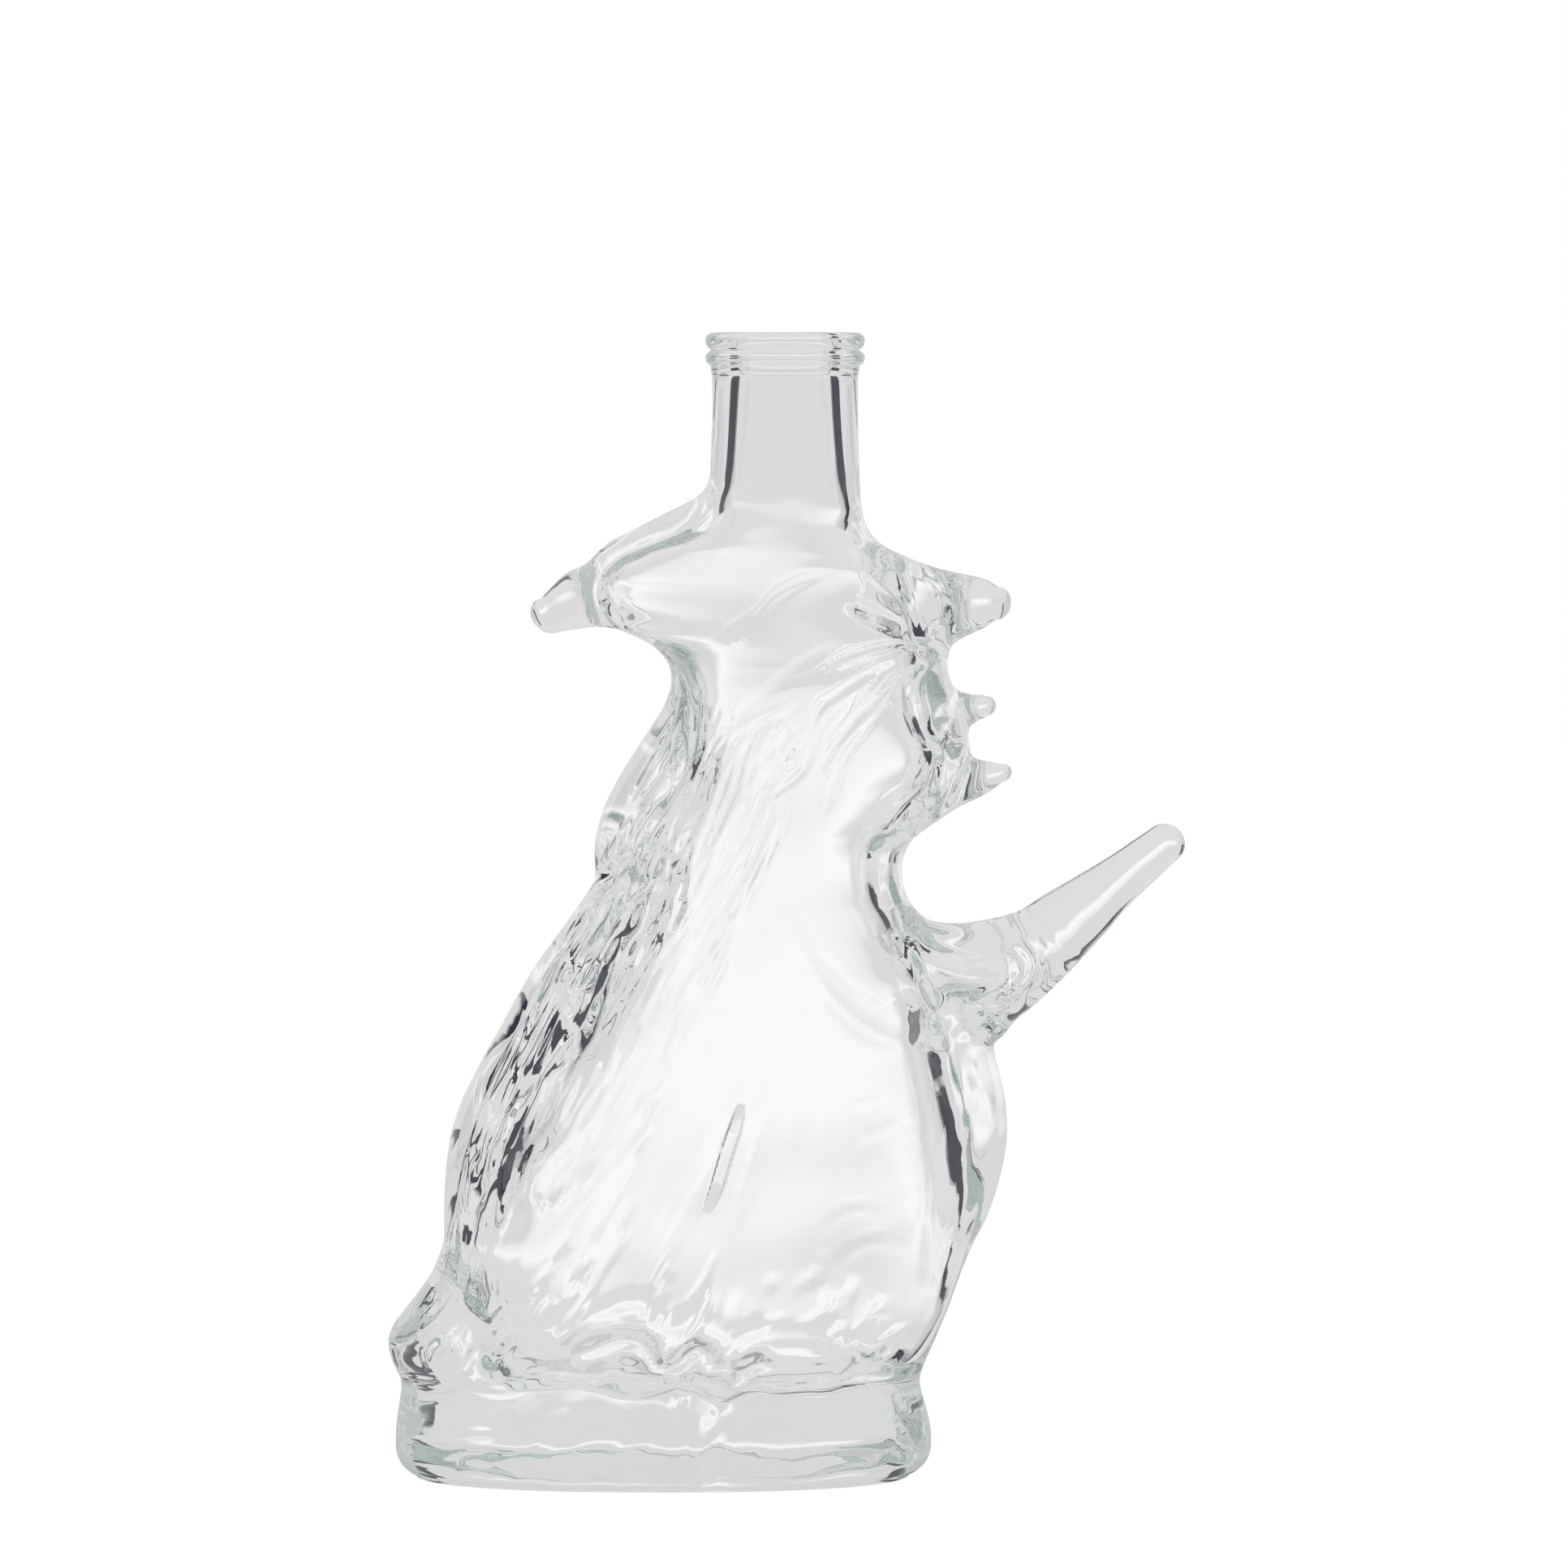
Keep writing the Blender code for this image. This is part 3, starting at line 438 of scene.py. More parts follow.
# The hair: locks that fan out from the temple over the crown, a rolled collar at the nape, and below it
# long strands that run down the back to the hem. The strands lie between two guides and fade towards the
# front one.
LOCK_LINES = {
    "temple_locks": (1, 0.38,
        ((5.8, 149.1), (11.2, 152.3), (15.5, 153.8), (19.9, 154.5), (24.1, 153.6)),
        ((5.8, 148.8), (9.5, 149.5), (14, 151.3), (18.4, 152.7), (22, 153.4)),
        ((-2.6, 126.8), (1.1, 129.5), (3.6, 132.1), (5.2, 137), (6.4, 142.7), (9.2, 144.8),
         (14.3, 148.3), (18.2, 150.3), (23.2, 152.7)),
        ((12.6, 140.9), (14.6, 144.8), (17, 148), (21.9, 151.4)),
        ((12.8, 140.6), (16.2, 143.8), (19.6, 147.6), (23.2, 149.9)),
        ((7.9, 130.5), (7.5, 132.7), (8.6, 135.6), (11.9, 139.6), (15.5, 143.3)),
        ((7.2, 123.4), (8.9, 128.8), (10.9, 134.2), (15.3, 140), (19.6, 145.1), (22.3, 148.4))),
    "temple_gaps": (0.9, -0.25,
        ((7.5, 149.1), (11.6, 151.3), (16.1, 152.7), (20.8, 153.6)),
        ((13.7, 143.6), (15.5, 145.6), (18.7, 148.8), (22.3, 151.4)),
        ((9.2, 132.7), (11.6, 136.8), (15.2, 140.9), (19, 145), (22.3, 149)),
        ((4.8, 134.2), (5.7, 139.3), (7.5, 142.7), (11.6, 145.7), (16.7, 148.6))),
    "crown_locks": (1.3, 0.08,
        ((-4.4, 145.2), (-1.4, 147.6), (4.8, 151.6), (10.7, 154.4)),
        ((-10, 141.4), (-5, 144.2), (1.8, 147.8), (6.9, 149.5)),
        ((-13.6, 136.7), (-9.3, 140), (-3.3, 143), (3.3, 146)),
        ((-15.9, 129.6), (-13, 134.1), (-7.8, 137.8), (-1.1, 140.8), (4.2, 144.2)),
        ((-9.3, 126), (-6.3, 131.2), (-1.9, 135.6), (3.3, 139.8)),
        ((-5.5, 122.3), (-3.3, 127.5), (-0.4, 132), (3.6, 136.4))),
    "collar": (1.7, 0.7,
        ((-19, 138.3), (-19.8, 132.5), (-23.1, 127.2), (-26.4, 123), (-29.7, 118.9), (-32.1, 114.9),
         (-33.7, 113))),
    "collar_curl": (0.9, 0.35,
        ((-20.6, 134.6), (-19.2, 133.6), (-19.2, 131.2), (-20.7, 130.2), (-21.5, 131.8), (-20.6, 133.8))),
    "collar_notch": (1.3, -1.1, ((-35.2, 112.5), (-32.9, 111.9), (-30, 113.5), (-27.9, 115.4))),
    "nape_gaps": (0.9, -0.4,
        ((-23.1, 125.7), (-26.4, 123.4), (-28.5, 119.7), (-29.8, 115.9)),
        ((-18.7, 145.5), (-20.2, 141.1), (-22.3, 136.4), (-25.5, 130.7), (-28.5, 125.1))),
    "slits": (0.85, -1.1,
        ((-21.8, 115.7), (-22.4, 111.7)), ((-24.6, 112.3), (-26.5, 107.7)),
        ((-25.4, 108.2), (-26.3, 105), (-27.3, 101.2)), ((-26.4, 100.1), (-27.6, 96)),
        ((-28.9, 108.9), (-30.2, 105.2)), ((-29.9, 101), (-31.9, 95.9)), ((-38.7, 94.8), (-40.2, 92.6)),
        ((-36.9, 95.9), (-37.8, 93.5)), ((-36.7, 91), (-38, 86.7)), ((-38.6, 84.5), (-39.5, 80.9)),
        ((-39.6, 80), (-40.8, 76.7)), ((-50.6, 62.6), (-51.8, 60.8), (-52.7, 58.4)),
        ((-56.4, 62.2), (-57.3, 60.1)), ((-50.9, 51.5), (-51.6, 49.2), (-52.5, 47.3))),
    "hair_lines": (0.75, -0.35,
        ((-28.6, 107.7), (-29.8, 103.2), (-33.5, 97.7), (-34.2, 93.2), (-36.4, 87.2), (-39, 81.6),
         (-40.6, 76.9)),
        ((-39, 92.2), (-40.7, 88.5), (-43.1, 81.9), (-45.1, 74.7), (-47.2, 69.3), (-49.4, 61.8),
         (-50.3, 57.1)),
        ((-47.6, 79.4), (-48, 77.8), (-49.5, 75.8), (-49.3, 74)),
        ((-31.4, 82.8), (-31.4, 79.3), (-33.3, 74.4)), ((-20, 84.4), (-21.5, 78.6), (-22.9, 75.9)),
        ((-24.4, 73.2), (-26.9, 67.5)), ((-25, 66.5), (-27.9, 62)),
        ((-12, 100.3), (-14.1, 95), (-16.2, 91.2)), ((-9.2, 106.1), (-11, 101.7), (-13.5, 97.3)),
        ((-1.1, 123.8), (-4.7, 115), (-7.8, 107.6), (-11.4, 95.9), (-15.9, 88.5)),
        ((-17.4, 114.9), (-18, 107.5), (-19.2, 101.6)),
        ((-19.2, 119.3), (-17.1, 120.2), (-16.2, 117.8), (-17.1, 111.9), (-17.7, 100.2))),
    "curls": (0.8, 0.35,
        ((-57.3, 54.9), (-58.5, 52), (-57.9, 48.9), (-56, 47.9), (-55.2, 50.3), (-56, 53.2),
         (-57.1, 54.3)),
        ((-52.7, 58.4), (-53.6, 57.5), (-52.7, 56.7), (-51.8, 57.6)),
        ((-50.3, 51.2), (-50.6, 49.4), (-51.8, 47.9), (-53, 48.4))),
}
HAIR_BACK = (
    (-16.5, 145.6), (-20.6, 133.8), (-26.6, 121.9), (-31.6, 111.9), (-36.2, 104.2), (-42.6, 94.6),
    (-48.6, 83.4), (-53.4, 72.5), (-57.2, 62.3), (-59.4, 52.3), (-59.8, 42.4),
)
HAIR_FRONT = (
    (4.8, 142.7), (2.6, 129.8), (-1.1, 117.9), (-6.3, 107.6), (-11.4, 97.4), (-17.3, 85.6), (-22.5, 75.4),
    (-27.6, 65.1), (-33.5, 57.7), (-40.9, 50.3), (-48.4, 43.4),
)
HAIR_SEED = 11
HAIR_POINTS = 9
STRANDS = 31
STRAND_STARTS = (0.03, 0.18)
STRAND_ENDS = (0.88, 1.0)
STRAND_JITTER = 0.008
STRAND_SWAY = 0.012
STRAND_HALF_WIDTHS = (0.7, 1.0)
STRAND_HEIGHTS = (0.34, 0.10)
STRAND_FADE = 0.6
TUFTS = 110
TUFT_LENGTHS = (0.08, 0.2)
TUFT_SWAY = 0.03
TUFT_HALF_WIDTHS = (0.55, 0.9)
TUFT_SWELLS = (0.7, 1.2)

press_lines(LOCK_LINES)
chance = random.Random(HAIR_SEED)
hair_back, hair_front = np.array(HAIR_BACK), np.array(HAIR_FRONT)


def hair_line(across, start, end, sway):
    """A line down the hair, at a share of the way from the back guide to the front one."""
    steps = np.linspace(start, end, HAIR_POINTS) * (len(hair_back) - 1)
    bends = np.linspace(0, chance.uniform(2, 5), HAIR_POINTS)
    wave = across + sway * np.sin(bends + chance.uniform(0, 6))
    order = np.arange(len(hair_back))
    ends = []
    for guide in (hair_back, hair_front):
        ends.append(np.stack([np.interp(steps, order, guide[:, k]) for k in range(2)], 1))
    return ends[0] + (ends[1] - ends[0]) * wave[:, None]


def strand_height(across):
    """How high a strand stands over the skin, less towards the front guide."""
    back_height, front_height = STRAND_HEIGHTS
    return back_height + (front_height - back_height) * min(1, max(0, across) / STRAND_FADE)


for k in range(STRANDS):
    across = (k + 0.5) / STRANDS + chance.uniform(-STRAND_JITTER, STRAND_JITTER)
    for start, end in ((chance.uniform(*STRAND_STARTS), 0.52), (0.42, chance.uniform(*STRAND_ENDS))):
        line = hair_line(across, start, end, STRAND_SWAY)
        press(line, chance.uniform(*STRAND_HALF_WIDTHS), strand_height(across))
for _ in range(TUFTS):
    across, start = chance.uniform(0.0, 0.95), chance.uniform(0.0, 0.85)
    line = hair_line(across, start, min(1, start + chance.uniform(*TUFT_LENGTHS)), TUFT_SWAY)
    half_width = chance.uniform(*TUFT_HALF_WIDTHS)
    height = chance.choice((-1, 1)) * strand_height(across) * chance.uniform(*TUFT_SWELLS)
    press(line, half_width, height)

# The sleeves and the clasped hands: folds of cloth along the arm, a cuff, four fingers and the ring-shaped
# dents where the wand leaves the grip. The dents run right round it, so they are pressed after the relief
# has faded.
ARM_LINES = {
    "sleeve_top": (1.3, -0.2,
        ((21.2, 105.6), (24.8, 101.2), (29, 97.9), (33.4, 97.1), (37.6, 97.6)),
        ((24.7, 96.3), (28.6, 95.1), (34.6, 95.2), (39.6, 96))),
    "sleeve_ridge": (1.8, 0.16,
        ((22.1, 102.5), (25.7, 98.6), (30.1, 96.3), (36.1, 96.3)),
        ((20.4, 109.7), (22.5, 104.9), (26.7, 101.7), (31.1, 100.9))),
    "sleeve_hem": (1.6, -0.14,
        ((0.7, 101.9), (6.1, 92.9), (9.8, 88.1), (15.1, 83.6), (20.2, 81.6), (26.6, 81.2), (31.6, 80.4))),
    "sleeve_fold": (2.2, 0.14, ((6.3, 95.1), (12.2, 89.6), (19, 85.1), (25.5, 83.7))),
    "sleeve_lobes": (1.9, 0.35,
        ((25, 89.2), (27.1, 90.1), (29.5, 89.5), (30.4, 87.8), (28.6, 85.6), (25.6, 85.1)),
        ((29.2, 84.7), (32.5, 86.2), (36.6, 87.4)), ((30.4, 82.8), (34, 83.4), (37.9, 85.5))),
    "sleeve_gaps": (1.2, -0.4,
        ((27.1, 88.5), (28.3, 87.3), (27.1, 86.2)),
        ((29.8, 85.5), (33.1, 87.2), (38.4, 90.4), (40.2, 92.7)),
        ((31.6, 81.3), (35.5, 83), (39.1, 85.4), (41.5, 87.4))),
    "cuff": (1.4, -0.5, ((38.8, 98.7), (40.3, 96.2), (41, 93.6), (40.2, 91.5), (39, 88.3))),
    "fingers": (1.8, 0.4,
        ((40.6, 99.6), (43.3, 98.8), (45.1, 96.4), (45.4, 93.4), (43.9, 91), (41.5, 89.3)),
        ((42.4, 96.2), (43.6, 94.1), (42.7, 91.7)),
        ((37.5, 88.3), (39.4, 87.6), (41.5, 88.1), (43.9, 89.5)),
        ((44.8, 100.8), (46.6, 98.2), (47.5, 94.9), (46.6, 91.5))),
    "finger_gaps": (1.1, -0.4,
        ((40.3, 98), (42.4, 97.4), (43.9, 95.3), (43.9, 93.2), (42.1, 91.1)),
        ((43.3, 100.5), (45.4, 98.5), (46.6, 95.8), (46.3, 92.4), (44.5, 89.7)),
        ((39, 88.9), (41.2, 89.3), (43, 90.5))),
}
GRIP_LINES = {
    "wand_root": (1.8, -0.35, ((42.6, 103.5), (45.2, 99.3), (47.5, 96.1), (49.1, 91.6))),
    "wand_band": (1.8, -0.15, ((46.1, 104.4), (49.3, 99.5), (52.4, 94.8))),
}
press_lines(ARM_LINES)

# The skirt: long soft folds, a leaf-shaped one among them, the knees that press through in front, short
# creases above the hem, and the swags of the hem itself, whose lower edge stands out over the base as a
# ledge.
SKIRT_LINES = {
    "small_leaf": (0.9, -0.45, ((-38.6, 56.1), (-40.5, 53.9), (-42.1, 52.1))),
    "skirt_folds": (2.4, -0.1,
        ((-7.6, 69.7), (-12.9, 59.4), (-20.2, 46.2), (-27.9, 32.8)),
        ((-1.1, 79.8), (-4.1, 65.3), (-7.7, 53.6), (-9.9, 47.7)),
        ((-20.3, 76.8), (-24.7, 65.1), (-30.6, 53.4), (-39.4, 41.5)),
        ((4.8, 88.6), (3.3, 75.4), (1.1, 62.3)),
        ((-30.6, 65.1), (-36.5, 53.3), (-45.4, 41.2), (-51.4, 35.1))),
    "hem_lines": (0.9, -0.3,
        ((-27.9, 48.3), (-32.8, 41.6), (-36.9, 34.7), (-42.3, 26.8)),
        ((-36, 31.5), (-38.9, 29.4), (-41.8, 26.7)), ((-41.8, 41.6), (-44.6, 38.8), (-47.5, 36.2)),
        ((-40.3, 40), (-39.7, 38.2), (-40.9, 34.1)), ((-40.9, 34.1), (-38.8, 35.9), (-36.5, 38)),
        ((-22.3, 37.7), (-25.1, 32.1), (-24.5, 29.7), (-22, 27.9)),
        ((-20.5, 34.7), (-22.5, 30.8), (-21.6, 27.9)),
        ((-12.9, 37.8), (-15.2, 31.2), (-19.2, 26.2), (-20.7, 23.9)), ((-8.9, 30.4), (-11.6, 22.7)),
        ((-6.6, 27.6), (-7.9, 22.6)), ((-56.6, 42.7), (-57.8, 38.3), (-58.9, 34.6), (-60.6, 30.8)),
        ((9.1, 37), (8.5, 33.4), (5.4, 31.8), (2.6, 30.1)), ((-0.4, 30.7), (-2, 31.6), (-2.9, 30)),
        ((3.8, 24.6), (6.3, 24.2), (8.1, 23.3)), ((-54.3, 29.2), (-51.4, 33), (-48.4, 35.3))),
    "hem_cuts": (1, -0.6,
        ((10.1, 30.3), (9.1, 27.3), (9.8, 25.2)), ((15, 32.7), (13.8, 29.1), (11.9, 23.3)),
        ((21.7, 29.2), (19.3, 27.2), (17, 26.1)), ((21.1, 27.1), (20.3, 24.4), (18.2, 22.7))),
    "hem_swags": (2.2, 0.5,
        ((-39.5, 24.3), (-35.9, 26), (-32.6, 27.5), (-29.1, 28.3), (-26.1, 27.6), (-23.9, 24.7),
         (-22.3, 22.1)),
        ((-21.4, 22.1), (-18.8, 24.8), (-16.1, 26.6), (-14.1, 25.6), (-12.6, 22.2)),
        ((-9.4, 20.6), (-7.6, 22.1), (-5.1, 24.3), (-2.9, 22.1))),
    "hem_swag_hearts": (1.4, -0.35,
        ((-32.8, 25), (-29.4, 25.7), (-26.7, 25)), ((-32.8, 23.2), (-29.7, 22.6))),
    "knees": (0.9, 0.11,
        ((13, 61.6), (13.5, 63.9), (16.1, 65.6), (21.6, 67.2), (25.1, 66.3), (28.6, 63.5), (30.6, 58.5)),
        ((9.1, 39.7), (11.1, 43.4), (15.3, 45.5), (19.6, 45.3), (22.9, 43.8)),
        ((22.2, 74.2), (23.3, 72.1), (22.4, 70.7))),
    "knee_creases": (0.9, -0.08,
        ((10.7, 45.8), (15.3, 47.2), (19.3, 46.7)), ((13, 60.7), (13.9, 63.2), (16.6, 64.7)),
        ((22.8, 74.5), (23.9, 72.1), (22.8, 70.4))),
    "front_ridges": (1.2, 0.3,
        ((33.9, 74.4), (36.7, 71.3), (37.9, 66), (36, 61), (33.9, 56.7)),
        ((33.1, 78.9), (35.2, 74.3), (38.5, 70.7)),
        ((35.4, 58), (34.6, 52), (32.8, 45.9), (31.1, 39.5), (28.8, 31.9))),
    "front_gaps": (1, -0.4,
        ((32.1, 76.3), (33, 71.6), (34.8, 67.1), (33.9, 62.7), (32.1, 60.8)),
        ((33, 58.3), (32.1, 50.8), (30.4, 43.1), (27.8, 34.6)),
        ((36.7, 53.1), (34.7, 45.3), (32.5, 37.2), (28.9, 28.3), (25.8, 22.9))),
    "heel_loops": (1, 0.45,
        ((-64, 21.2), (-65.8, 23.8), (-64.9, 26.8), (-62.5, 28.7), (-61, 27.4), (-61.9, 24.7),
         (-64.3, 23.3)),
        ((-60.8, 34.5), (-62.1, 32.2), (-64.6, 29.7), (-66.8, 28.1)),
        ((-58.9, 21.5), (-56.7, 25), (-53.4, 29.3), (-49.2, 32.1)),
        ((-54.3, 21.8), (-53.7, 24.9), (-51.6, 28), (-48.3, 30.7))),
    "heel_gaps": (0.95, -0.55,
        ((-63.2, 24.6), (-62.2, 26.4)), ((-66.8, 31.8), (-65.3, 33.6), (-64.1, 35.4)),
        ((-62.4, 34.8), (-63.5, 32.8), (-65.6, 30.6)),
        ((-60.4, 21.1), (-58.8, 24.8), (-60.4, 28.3), (-58.6, 31.8)),
        ((-52.5, 22.2), (-51, 25.7), (-48.3, 28.4))),
}
# The hem's lower edge, and how far under it the ledge reaches its full step.
HEM_EDGE = (
    (-75, 19.8), (-62.7, 19.7), (-56, 19.2), (-48.4, 19.7), (-44.5, 19.9), (-41, 20.7), (-37.4, 20.7),
    (-34.6, 20.1), (-31.5, 18.7), (-25.6, 18.3), (-22.1, 20), (-19.4, 20.9), (-17.5, 20.3), (-14.8, 18.5),
    (-11.9, 18.1), (-8.1, 19.9), (-5.1, 19.6), (-2.1, 19.2), (3.6, 19.8), (8.1, 19.2), (10.7, 19.7),
    (30, 19.8),
)
HEM_DROP = 1.1
HEM_STEP = 0.5
HEM_FADE = 4.0
# The leaf-shaped fold has steep sides and a flat ground, and is cut on the near half only.
LEAF_LINE = ((-7.9, 70.8), (-9.2, 66.5), (-11.0, 60.9), (-12.6, 55.6), (-14.3, 51.8))
LEAF_HALF_WIDTH = 1.3
LEAF_DEPTH = -1.5
LEAF_STEEPNESS = 2.6

press_lines(SKIRT_LINES)
press(LEAF_LINE, LEAF_HALF_WIDTH, LEAF_DEPTH, LEAF_STEEPNESS, far_share=0)
hem_edge = np.array(HEM_EDGE)
under_hem = np.interp(places[:, 0], hem_edge[:, 0], hem_edge[:, 1]) - places[:, 1]
relief -= HEM_STEP * np.clip(under_hem / HEM_DROP, 0, 1) * np.clip(places[:, 1] / HEM_FADE - 1, 0, 1)

# The base: a block of rock, cast solid. It is split into two lobes, flared into a toe at the front,
# streaked at the back and rough along its foot.
BASE_LINES = {
    "hem_crack": (0.9, -0.5,
        ((-56.6, 20.4), (-54.1, 19.7), (-50.4, 20.1), (-46.9, 20.9), (-43.6, 21.8)),
        ((-62.7, 18.8), (-58.9, 19.4), (-55.9, 20.2))),
    "base_streaks": (0.8, -0.3,
        ((-64.8, 17), (-60.7, 17.4), (-56.5, 18.5)), ((-64, 15), (-61, 15.3), (-57.8, 14.9)),
        ((-64.3, 13), (-61, 13.7), (-58.6, 14.5)), ((-62.9, 10.9), (-59.3, 11.9)),
        ((-62.4, 8.9), (-57.3, 10), (-52.3, 10.5)), ((-48.7, 19.8), (-46, 20.3), (-43.6, 21.1))),
    "rock_lines": (1, -0.15,
        ((-50.6, 13.2), (-46.9, 14.1), (-42.4, 17.4)), ((-46.8, 9), (-44.3, 10.1)),
        ((-43.7, 6.2), (-37.3, 9.1)), ((-40.4, 5.4), (-37.8, 8.6)),
        ((-33.2, 6.2), (-28.2, 8.3), (-23.3, 10), (-22.5, 7)),
        ((-15.2, 6.2), (-12, 8.8), (-9.4, 7.4), (-6.3, 5.1)),
        ((-6.3, 5.1), (-2.6, 6.2), (2.6, 5.2), (6.3, 6.4), (10.7, 5.4)), ((-30.2, 15.7), (-29, 14.7)),
        ((14.3, 4.2), (14.7, 5.9)), ((-61.1, 3.5), (-57.3, 5.3), (-53.4, 4.9)),
        ((-51, 2.2), (-46.1, 4.2), (-40.9, 3.2))),
    "rock_bumps": (1.7, 0.15,
        ((-59.4, 4.2), (-54.9, 3.9)), ((-48.9, 3), (-43, 2.8)), ((-34.4, 2.7), (-32.6, 4.3)),
        ((-28.2, 3), (-25.8, 4.6)), ((7.7, 5.8), (9.2, 4.9)), ((18.1, 6.3), (19.6, 5.2))),
    "dark_wedge": (1.4, -0.9, ((-18.5, 18.4), (-19.4, 16.1), (-20.3, 13.8))),
    "lobe_split": (2.8, -1.2, ((-10.7, 15.8), (-13, 11.4), (-14.7, 6.4), (-15.3, 1.4))),
    "foot_toe": (1.1, -0.7,
        ((17.6, 17.2), (18.5, 14), (20, 10.5), (23, 3.5)), ((20, 16.9), (21.5, 13.6), (24.2, 11.2))),
    "foot_ridge": (1.7, 0.6, ((18.8, 17.1), (20.3, 13), (22.4, 8.7), (24.8, 4.6))),
    "toe_top": (1.4, 0.6, ((10.7, 20.3), (14, 21.4), (17.9, 21.1), (19.7, 19.8))),
    "toe_gap": (0.9, -0.7, ((10.1, 22.2), (10.7, 19.1), (13.7, 19.2), (18.5, 18.6), (20.3, 20.3))),
}
# The rock's roughness at the foot, the base's slow waves, and the glass's own waves all over.
ROCK_TOP = 9.0
ROCK_GRAIN = 3.4
ROCK_HEIGHT = 0.08
ROCK_FRACTAL = (0.9, 2.2, 3)
FOOT_FADE = 1.5
BASE_TOP = 18
BASE_FADE = 2
BASE_WAVE = 0.38
BASE_GRAIN = 7.0
GLASS_WAVE = 0.10
GLASS_GRAIN = 13.0


def mirrored(point, grain):
    """A point's place in a pattern that is the same on both halves."""
    return Vector((point[0], abs(point[1]), point[2])) / (grain * MM)


press_lines(BASE_LINES)
rock = np.clip(1 - places[:, 1] / ROCK_TOP, 0, 1) * np.clip(places[:, 1] / FOOT_FADE, 0, 1)
for k in np.flatnonzero(rock):
    relief[k] += ROCK_HEIGHT * rock[k] * noise.fractal(mirrored(skin_points[k], ROCK_GRAIN), *ROCK_FRACTAL)
for k in np.flatnonzero(places[:, 1] < BASE_TOP):
    share = min(1, places[k, 1] / FOOT_FADE, (BASE_TOP - places[k, 1]) / BASE_FADE)
    relief[k] += BASE_WAVE * share * noise.noise(mirrored(skin_points[k], BASE_GRAIN))
relief *= facing
relief += [GLASS_WAVE * noise.noise(mirrored(point, GLASS_GRAIN)) for point in skin_points]

# The relief is given to the glass, with the dents of the grip, and stays within the solids' own box.
relief_of_skin, relief = relief, np.zeros(len(skin_points))
press_lines(GRIP_LINES)
relief += relief_of_skin
shaped = skin_points + skin_normals * (relief * MM)[:, None]
shaped = np.clip(shaped, np.array(cad_box[0]), np.array(cad_box[1]))
for vertex, point in zip(skin_vertices, shaped):
    vertex.co = point

# The hollow: the gob was opened by a plunger and blown out inside the mould, so the inside is smooth and
# follows the outside only roughly. It is thin at the sides, thick at the face and in the hair, and its
# floor is rounded and wavy. The rows give a height and the reach to the back and to the front, in mm.
HOLLOW = (
    (16.3, 50, 15), (21, 54.5, 20), (25, 56, 23), (31, 57, 26), (37, 57, 28), (43, 56.2, 29.8),
    (48, 55, 31.2), (54, 53.4, 31.6), (60, 51.4, 31.4), (66, 48.7, 30.8), (72, 45.5, 29.6),
    (78, 42.2, 28.4), (84, 38.8, 27.4), (90, 35.4, 26), (96, 32.2, 23), (102, 29.2, 19.4),
    (106, 27.4, 17.2), (110, 26, 16.3), (114, 25.6, 16.4), (118, 25.8, 17.6), (122, 24.4, 21.6),
    (126, 21.6, 25.2), (130, 19, 27), (134, 17.6, 27.2), (138, 16.9, 26.2), (142, 16.3, 24.6),
    (146, 16.1, 23.8), (150, 17.1, 24.2), (153, 19.2, 24.2), (156, 23.4, 23.8), (159, 29, 22.8),
    (162, 32.3, 21.4), (165, 32.6, 19.6), (168, 30, 16.4), (170, 26.2, 14.2), (172, 21.4, 12.4),
    (174, 17.2, 11.3), (176, 14.2, 10.7), (178, 12.5, 10.9), (181, 11, 10.5), (184, 10.2, 10.1),
)
HOLLOW_AROUND = 120
HOLLOW_PITCH = 1.6
HOLLOW_FULLNESS = ((20, 166, 184), (4.0, 5.0, 4.0))
# The bore, and the heights between which the hollow becomes round.
ENTRY_ANGLES = (0, 30, 60, 90)
BORE_RADIUS = 9.0
BORE_ROWS = ((184.2, 10.1), (187, 9.7), (190, 9.4), (194, 9.1), (199, 8.8), (205, 8.5))
BORE_STEPS = 12
NECK_ROUNDING = (168, 184)
NECK_BLEND = 6
# The wall's thickness at the sides, by height.
SIDE_WALLS = ((16, 5.6), (60, 4.2), (110, 3.0), (146, 2.5), (168, 3.6))
# The waves that the hair leaves in the hollow's back, between these heights and shares of the way back.
LOCK_WAVE = 1.9
LOCK_WIDTH = 2.8
LOCK_LENGTH = 13.0
LOCK_ZONE = ((36, 48, 108, 116), (0, 1, 1, 0))
LOCK_SHARES = (0.7, 0.9)
FLOOR = 16.3
FLOOR_ROUND = 3.2
FLOOR_STEPS = 7
# The floor's rim: the place, and the lift of its near and far side, which fades out upwards.
RIM_WAVES = (
    (-60, 0.3, 0.8), (-48, 0.8, 1.2), (-43, 1.1, 2), (-38, 1.5, 3), (-33.4, 0.2, 5), (-29.8, -1, 6),
    (-26.5, -1.2, 5.3), (-22.6, 0.5, 0.2), (-19.7, 1.5, 1.8), (-16.7, 0.2, 4), (-13.1, -1.2, 0.4),
    (-10.1, -0.4, -1.6), (-7.4, 0.7, 0.4), (-5.2, 0.5, 1.9), (-2, 0, 0), (3.7, 0.7, -0.7),
    (10.6, 0.9, -1.1), (25, 0.4, -0.4),
)
WAVE_TOP = 31.0
WAVE_FADE = 13.0
# The arms' root is hollow, drawn as the limbs are.
POCKET = ((87, 97.5), (
    ((28.2, 96.4), (28.8, 87.2), 6.6),
    ((31.5, 95.4), (32, 88.2), 5.6),
    ((35, 94.7), (35.4, 89.2), 4.4),
    ((38.2, 94.2), (38.5, 90), 3),
), (41, 92.2))
POCKET_ROUNDS = 4
INNER_WAVE = 0.22

